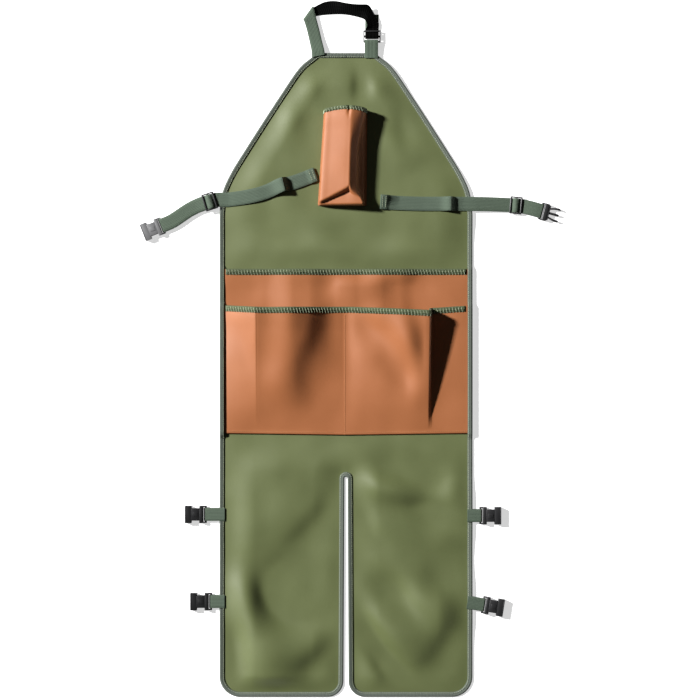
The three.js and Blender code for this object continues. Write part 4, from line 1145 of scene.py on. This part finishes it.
class PlanLine:
    """A smooth line on the floor, read by the distance along it."""

    def __init__(self, rows):
        self.points = rounded(rows, 24)
        self.reach = distances(self.points)
        self.length = float(self.reach[-1])

    def inside(self, along):
        """Points at distances that lie on the line."""
        return np.stack([np.interp(along, self.reach, self.points[:, k]) for k in range(2)], axis=-1)

    def at(self, along):
        """Points and directions at distances, straight on past the ends."""
        along = np.asarray(along, float)
        held = np.clip(along, 0, self.length)
        early = np.clip(held - 1.5, 0, self.length)
        late = np.clip(held + 1.5, 0, self.length)
        ahead = unit(self.inside(late) - self.inside(early))
        return self.inside(held) + ahead * (along - held)[..., None], ahead

    def turn_at(self, along):
        """The point and the heading in degrees at a distance."""
        place, ahead = self.at(along)
        return place, math.degrees(math.atan2(ahead[1], ahead[0]))


def strap_along(name, plan, profile, width, node_name, ease=3, curl=0):
    """A strap along a plan line, its height given by a profile of distances and heights.

    The profile's corners are cut a number of times. The left edge curls up by a height at its free end.
    """
    profile = eased(profile, ease)
    place, ahead = plan.at(profile[:, 0])
    side = np.stack([-ahead[:, 1], ahead[:, 0]], axis=-1) * width / 2
    near_end = fade(4, 34, profile[:, 0]) * (np.arange(len(profile)) < len(profile) / 2)
    lefts = np.column_stack([place + side, profile[:, 1] + curl * near_end])
    rights = np.column_stack([place - side, profile[:, 1]])
    strap = strip_mesh(name, strap_sections(lefts, rights, WEBBING), green_webbing)
    done(strap, [node_name])


def waist_profile(plan, row):
    """Distances and heights of a waist strap, from its free end out and back under itself."""
    reach = np.arange(0, plan.length)
    edge_along = float(reach[np.abs(plan.at(reach)[0][:, 0]) > HALF_WIDTH][0])
    along = np.linspace(0, edge_along + 2, 90)
    place, ahead = plan.at(along)
    heights = []
    for share in (-0.5, -0.25, 0, 0.25, 0.5):
        across = share * WAIST_STRAP
        heights.append(panel_front(place[:, 0] - ahead[:, 1] * across, place[:, 1] + ahead[:, 0] * across))
    on_cloth = np.maximum.reduce(heights) + GAP + 0.9 + WEBBING / 2
    spread = smooth(10, 26, HALF_WIDTH - np.abs(place[:, 0]))
    kink = row["kink"]
    kink_reach = np.where(along < kink["along"], kink["before"], kink["after"])
    rise = kink["high"] * np.exp(-(((along - kink["along"]) / kink_reach) ** 2))
    hem_rise = HEM_RISE * fade(*HEM_END, along)
    tail = np.column_stack([along, ON_TAPE + spread * (on_cloth - ON_TAPE) + rise + hem_rise])
    first = tail[0, 1]
    under_hem = first - HEM_RISE
    hem = [(HEM_FOLD, under_hem), (1, under_hem), (0, first - HEM_RISE / 2), (0.8, first)]
    under = row["height"] - SLIDER_THICKNESS / 2 - GAP - WEBBING / 2
    over = row["height"] + SLIDER_THICKNESS / 2 + GAP + WEBBING / 2
    slider = row["slider"]
    length = plan.length
    weave = [
        (slider - 11.5, under),
        (slider - SLIDER_SLOT, under),
        (slider - SLIDER_CREST, over),
        (slider + SLIDER_CREST, over),
        (slider + SLIDER_SLOT, under),
        (slider + 12, under),
        (slider + 26, BAR_HEIGHT + LOOP_RADIUS - 1),
        (length - 8, BAR_HEIGHT + LOOP_RADIUS),
        *turn_round(length, BAR_HEIGHT, LOOP_RADIUS, 90, -90, 8),
        (length - 14, ON_FLOOR),
        ((length + edge_along) / 2, ON_FLOOR),
        (edge_along - 24, ON_FLOOR),
    ]
    return np.vstack([hem, tail[1:], weave])


waist_plans = {}
for side, row in WAIST.items():
    plan = PlanLine(row["route"])
    waist_plans[side] = plan
    profile = waist_profile(plan, row)
    name = "waist strap " + side
    strap_along(name, plan, profile, WAIST_STRAP, "waist_strap_" + side, 2, row["curl"])
    tops = profile[4:60]
    for number, along in enumerate(HEM_SEAMS):
        (place,), (ahead,) = plan.at([along])
        across = np.array([-ahead[1], ahead[0]])
        steps = np.linspace(-0.42, 0.42, 7)
        heights = np.interp(along, tops[:, 0], tops[:, 1]) + WEBBING / 2 + row["curl"] * (steps + 0.5)
        seam = np.column_stack([place + across * WAIST_STRAP * steps[:, None], heights])
        begin, finish = along_line(seam, *HEM_STITCH)
        stitches(f"{name} hem stitches {number}", begin, finish, up, HEM_THREAD_RADIUS, pale_thread)


# The waist sliders: black moulded plates with three bars, which the webbing passes over and under, so
# that the strap can be set to the waist. All their edges are round.

BUCKLE_WIDTH = 29.6
SLIDER_LENGTH = 21
SPARK_SIZE = 2 / 3 * MM
SPARK_HEIGHT = 0.1 * MM


def moulded_plastic(name, base, roughness):
    """Moulded plastic with a fine spark texture."""
    material, shader = new_material(name, roughness, specular=0.5)
    place = node(material, "ShaderNodeTexCoord").outputs["Object"]
    grain = node(material, "ShaderNodeTexNoise", {"Vector": place, "Scale": 1 / SPARK_SIZE, "Detail": 2})
    spark_height = {"Height": grain.outputs["Fac"], "Strength": 0.15, "Distance": SPARK_HEIGHT}
    bump = node(material, "ShaderNodeBump", spark_height)
    shader.inputs["Base Color"].default_value = base
    material.node_tree.links.new(bump.outputs["Normal"], shader.inputs["Normal"])
    return material


# Acetal, injection moulded, black: satin, with a fine spark texture that breaks up its highlights
dark_plastic = moulded_plastic("dark plastic", linear("1f1f20"), 0.4)


def rounded_block(x, y, z, edge):
    """The points and faces of a box between limits, its edges and corners cut round."""
    low = np.array([x[0], y[0], z[0]], float)
    high = np.array([x[1], y[1], z[1]], float)
    cut = min(edge, 0.45 * float((high - low).min()))
    ring = []
    for turn in np.linspace(0, TURN, 16, endpoint=False) + TURN / 32:
        cosine, sine = math.cos(turn), math.sin(turn)
        ring.append([np.sign(cosine), np.sign(sine), cosine, sine])
    ring = np.array(ring)
    layers = [(low[2], 0.0), (low[2] + 0.3 * cut, 0.7), (low[2] + cut, 1.0)]
    layers += [(high[2] - cut, 1.0), (high[2] - 0.3 * cut, 0.7), (high[2], 0.0)]
    centre = (low + high) / 2
    half = (high - low) / 2 - cut
    points = []
    for height, grown in layers:
        flat = centre[:2] + ring[:, :2] * half[:2] + ring[:, 2:] * cut * grown
        points.append(np.column_stack([flat, np.full(16, height)]))
    quads = grid_faces(6, 16, around=True)
    caps = [list(range(16))[::-1], [80 + k for k in range(16)]]
    return np.vstack(points), quads, caps


def moulded(name, blocks, place, turn, material):
    """Rounded blocks put together as one moulded piece, turned and moved to its place."""
    points = []
    quads = []
    caps = []
    count = 0
    for block_points, block_quads, block_caps in blocks:
        points.append(block_points)
        quads.append(block_quads + count)
        caps += [[index + count for index in cap] for cap in block_caps]
        count += len(block_points)
    points = np.vstack(points)
    angle = math.radians(turn)
    turned = [[math.cos(angle), math.sin(angle), 0], [-math.sin(angle), math.cos(angle), 0], [0, 0, 1]]
    return add_mesh(name, points @ np.array(turned) + np.array(place), np.vstack(quads), material, caps)


def slider_blocks():
    """The three-bar slider: two long sides and three bars between them."""
    half = BUCKLE_WIDTH / 2
    end = SLIDER_LENGTH / 2
    z = (-SLIDER_THICKNESS / 2, SLIDER_THICKNESS / 2)
    blocks = []
    for side in (-half + 1.1, half - 1.1):
        blocks.append(rounded_block((-end, end), (side - 1.1, side + 1.1), z, 0.9))
    for low, high in ((-end, -7.5), (-1.8, 1.8), (7.5, end)):
        blocks.append(rounded_block((low, high), (-half + 0.6, half - 0.6), z, 1.0))
    return blocks


for side, row in WAIST.items():
    place, turn = waist_plans[side].turn_at(row["slider"])
    slider = moulded("waist slider " + side, slider_blocks(), (*place, row["height"]), turn, dark_plastic)
    done(slider, ["waist_slider_" + side])


# The waist buckle halves: a half with a mouth on the left strap, painted grey for the strong light that
# falls on its dark plastic, and a black half with two spring arms on the right strap, open as they lie in
# the photo. Each hangs by its bar in the loop of its strap.

BUCKLE_LENGTH = 37

# The same moulded plastic, lightened to grey as painted light: the strong lamp on the dark left buckle
painted_light_plastic = moulded_plastic("painted light plastic", linear("6f6f70"), 0.45)


def bar_and_arms():
    """The bar that the strap turns round, and the two arms that hold it."""
    half = BUCKLE_WIDTH / 2
    bar = (BAR_HEIGHT - BAR / 2, BAR_HEIGHT + BAR / 2)
    return [
        rounded_block((-BAR / 2, BAR / 2), (-half, half), bar, 1.5),
        rounded_block((-BAR / 2, 9), (-half, -half + 2.4), bar, 1),
        rounded_block((-BAR / 2, 9), (half - 2.4, half), bar, 1),
    ]


def socket_blocks():
    """The half with the mouth: bar, arms, back wall, open waist and closed collar with a lip."""
    half = BUCKLE_WIDTH / 2
    end = BUCKLE_LENGTH - BAR / 2
    return [
        *bar_and_arms(),
        rounded_block((4.1, 11), (-half, half), (0.3, 9.3), 1.2),
        rounded_block((10, 25), (-10.4, 10.4), (0.3, 1.9), 0.6),
        rounded_block((10, 25), (-10.4, 10.4), (7.7, 9.3), 0.6),
        rounded_block((24, end), (-half, half), (0.3, 1.9), 0.7),
        rounded_block((24, end), (-half, half), (7.7, 9.3), 0.7),
        rounded_block((24, end), (-half, -half + 1.8), (0.5, 9.1), 0.8),
        rounded_block((24, end), (half - 1.8, half), (0.5, 9.1), 0.8),
        rounded_block((13, 22), (-4, 4), (9.0, 9.7), 0.3),
        rounded_block((end - 1.6, end), (-half + 1, half - 1), (9.0, 9.7), 0.3),
    ]


def plug_blocks():
    """The half with the prongs: bar, arms, base, a flange, two spring arms and the guide."""
    half = BUCKLE_WIDTH / 2
    blocks = [
        *bar_and_arms(),
        rounded_block((4.1, 12), (-half, half), (0.6, 8.6), 1.2),
        rounded_block((11.5, 14.5), (-half + 2, half - 2), (1.4, 7.8), 0.8),
        rounded_block((14, 31), (-2, 2), (3, 6.4), 0.8),
    ]
    arm = [(13, 5.6), (24, 8.6), (31.5, 8.4), (33, 9.6), (29.5, 12.4), (23.5, 11.6), (13, 8.6)]
    for side in (-1, 1):
        outline_points = eased(np.array([*arm, arm[0]], float), 1)[:-1]
        count = len(outline_points)
        layers = []
        centre = outline_points.mean(axis=0)
        for height, grown in ((2.8, 0.94), (3.2, 1.0), (6.4, 1.0), (6.8, 0.94)):
            flat = centre + (outline_points - centre) * grown
            layers.append(np.column_stack([flat[:, 0], side * flat[:, 1], np.full(count, height)]))
        quads = grid_faces(4, count, around=True)
        caps = [list(range(count))[::-1], [3 * count + k for k in range(count)]]
        if side < 0:
            quads = quads[:, ::-1]
            caps = [cap[::-1] for cap in caps]
        blocks.append((np.vstack(layers), quads, caps))
    return blocks


# The left half takes the grey painted light on its dark plastic
place, turn = waist_plans["left"].turn_at(waist_plans["left"].length)
socket = moulded("waist buckle socket", socket_blocks(), (*place, 0), turn, painted_light_plastic)
done(socket, ["waist_buckle_socket"])
place, turn = waist_plans["right"].turn_at(waist_plans["right"].length)
plug = moulded("waist buckle plug", plug_blocks(), (*place, 0), turn, dark_plastic)
done(plug, ["waist_buckle_plug"])


# The leg straps and their buckles: on the outer side of each leg two short green webbings, sewn on over
# and under the edge and doubled round the bar of a black buckle half with a mouth.

LEG_STRAP = 22
LEG_STRAPS = [
    {"name": "left_upper", "side": -1, "down": 0.7165, "out": 23, "turn": 0},
    {"name": "left_lower", "side": -1, "down": 0.852, "out": 14, "turn": 0},
    {"name": "right_upper", "side": 1, "down": 0.7185, "out": 13, "turn": 0},
    {"name": "right_lower", "side": 1, "down": 0.8545, "out": 18, "turn": -9},
]

for row in LEG_STRAPS:
    heading = row["turn"] if row["side"] > 0 else 180 - row["turn"]
    ahead = np.array([math.cos(math.radians(heading)), math.sin(math.radians(heading))])
    start = np.array([row["side"] * (HALF_WIDTH + GAP + TAPE), down_to(row["down"])])
    plan = PlanLine([start - ahead * 40, start - ahead * 20, start, start + ahead * row["out"]])
    out = row["out"] + 40
    profile = [
        (14, ON_FLOOR),
        (40 + row["out"] * 0.5, ON_FLOOR),
        *turn_round(out, BAR_HEIGHT, LOOP_RADIUS, -90, 90, 8),
        (40 + row["out"] * 0.45, (ON_TAPE + BAR_HEIGHT + LOOP_RADIUS) / 2),
        (42.5, ON_TAPE),
        (31, ON_TAPE),
    ]
    label = row["name"].replace("_", " ")
    strap_along("leg strap " + label, plan, profile, LEG_STRAP, "leg_strap_" + row["name"])
    bar = start + ahead * row["out"]
    buckle = moulded("leg buckle " + label, socket_blocks(), (bar[0], bar[1], 0), heading, dark_plastic)
    done(buckle, ["leg_buckle_" + row["name"]])


# The neck strap: one long webbing, green outside, its inside black as painted shade where it turns over out
# of the light, sewn on at the left of the bib's top. It runs up, is folded over under itself at a slant,
# crosses to the right standing on its edge, and ends in the slider, round whose bar it turns back.

NECK_STRAP = 23

# Both edges on the way to the slider, from the bib: left x, y and height, then right x, y and height
NECK_EDGES = np.array(
    [
        (-58, 539, 7.05, -35.5, 543.5, 7.05),
        (-58.2, 549, 7.05, -37, 553, 7.05),
        (-61, 562, 5, -40.5, 566, 5),
        (-66, 584, 4, -45.5, 588, 4),
        (-69.5, 596, 4.6, -51, 607.5, 4.6),
        (-71.5, 601.5, 5.2, -54.8, 624, 5.2),
        (-72.6, 603.4, 4, -56.2, 626, 4),
        (-72.6, 603.4, 2.1, -56.2, 626, 2.1),
        (-71.3, 602.4, 0.8, -54.4, 625, 0.8),
        (-62, 606, 0.8, -46, 630, 0.8),
        (-49, 610.5, 0.8, -36, 634.5, 0.8),
        (-30, 612.5, 0.8, -26, 636, 0.8),
        (-16, 613, 0.8, -14, 635, 4),
        (-2, 613, 1, -2, 630, 14),
        (12, 610.5, 1.5, 13.5, 627.5, 15.5),
        (24, 607, 4, 27, 627.5, 14),
        (31, 603.5, 8, 39, 628.5, 10),
        (35, 597.5, 10, 47, 615, 5),
        (35.3, 589, 7, 56.5, 598.5, 3),
    ]
)

# The same webbing in black, as painted shade on the strap's inside: it swallows nearly all light, so its
# ribs are drawn wide, 3.4 by 6 mm
BLACK_RIB = 3.4 * MM
BLACK_CORD = 6 * MM
painted_shade_webbing = ribbed_tape("painted shade webbing", linear("020202"), linear("000000"), BLACK_RIB, BLACK_CORD, 0.05)
SLIDER_PLACE = (44, 574.5)
NECK_SLIDER_HEIGHT = 5.2
under_bar = NECK_SLIDER_HEIGHT - SLIDER_THICKNESS / 2 - GAP - WEBBING / 2
over_bar = NECK_SLIDER_HEIGHT + SLIDER_THICKNESS / 2 + GAP + WEBBING / 2
threaded = np.array(
    [
        (-14, under_bar + 0.2),
        (-SLIDER_SLOT, under_bar),
        (-SLIDER_CREST, over_bar),
        (1.6, over_bar),
        (3.1, NECK_SLIDER_HEIGHT + 1.4),
        (3.6, NECK_SLIDER_HEIGHT - 0.6),
        (2.8, 1.6),
        (1, ON_FLOOR),
        (-10, ON_FLOOR),
        (-38, ON_FLOOR + 0.1),
    ]
)
half_strap = NECK_STRAP / 2
lead_y = SLIDER_PLACE[1] - threaded[:, 0]
lead = np.column_stack([np.full(len(threaded), SLIDER_PLACE[0]), lead_y, threaded[:, 1]])
neck_lefts = np.vstack([NECK_EDGES[:, :3], lead - [half_strap, 0, 0]])
neck_rights = np.vstack([NECK_EDGES[:, 3:], lead + [half_strap, 0, 0]])
neck_both = eased(np.hstack([neck_lefts, neck_rights]), 3)
neck_sections = strap_sections(neck_both[:, :3], neck_both[:, 3:], WEBBING)
neck_strap = strip_mesh("neck strap", neck_sections, green_webbing)
neck_strap.data.materials.append(painted_shade_webbing)
# Faces on the strap's inside take the black painted shade
face_column = np.arange(len(neck_strap.data.polygons)) % neck_sections.shape[1]
painted_shade_faces = (face_column < 6) | (face_column > 16)
neck_strap.data.polygons.foreach_set("material_index", painted_shade_faces.astype(np.int32))
done(neck_strap, ["neck_strap"])


# The neck slider and the short strap that holds it: a black three-bar slider, and a green webbing sewn
# on over and under the top edge of the bib at its right and doubled round the slider's lower bar.

neck_slider = moulded("neck slider", slider_blocks(), (*SLIDER_PLACE, NECK_SLIDER_HEIGHT), -90, dark_plastic)
done(neck_slider, ["neck_slider"])

short_start = np.array([SLIDER_PLACE[0] - 1, TOP + GAP + TAPE])
short_plan = PlanLine([short_start - [0, 40], short_start - [0, 20], short_start, short_start + [0, 40]])
to_bar = SLIDER_PLACE[1] - 9 - short_start[1] + 40
bar_radius = math.hypot(SLIDER_THICKNESS / 2, 1.5) + GAP + WEBBING / 2
short_profile = [
    (18, ON_FLOOR),
    (to_bar - 4, ON_FLOOR),
    (to_bar - 0.5, NECK_SLIDER_HEIGHT - bar_radius),
    *turn_round(to_bar, NECK_SLIDER_HEIGHT, bar_radius, -70, 90, 6),
    (42, ON_TAPE),
    (31, ON_TAPE),
]
short_node = "neck_strap_short"
strap_along("neck strap short", short_plan, short_profile, NECK_STRAP, short_node)


# The floor: a smooth white studio table, far wider than the picture, which the apron lies on.
# It glows a little, so that it stays white in the shadow of the cloth.

floor_paint, floor_shader = new_material("floor paint", 0.9, specular=0.1)
floor_shader.inputs["Base Color"].default_value = (0.93, 0.93, 0.93, 1)
floor_shader.inputs["Emission Color"].default_value = (1, 1, 1, 1)
floor_shader.inputs["Emission Strength"].default_value = 0.6
FLOOR_REACH = 4000
FLOOR_LEVEL = -0.05
corners = ((-1, -1), (1, -1), (1, 1), (-1, 1))
floor_points = np.array([(x * FLOOR_REACH, y * FLOOR_REACH, FLOOR_LEVEL) for x, y in corners])
floor = add_mesh("floor", floor_points, np.array([[0, 1, 2, 3]]), floor_paint)
floor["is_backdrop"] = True


# The bounds of the frame before and after, for the record of its size


def plain(value):
    """Bounds as plain lists of numbers."""
    if hasattr(value, "__len__"):
        return [plain(part) for part in value]
    return float(value)


{"first": plain(first_bounds), "last": plain(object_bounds())}
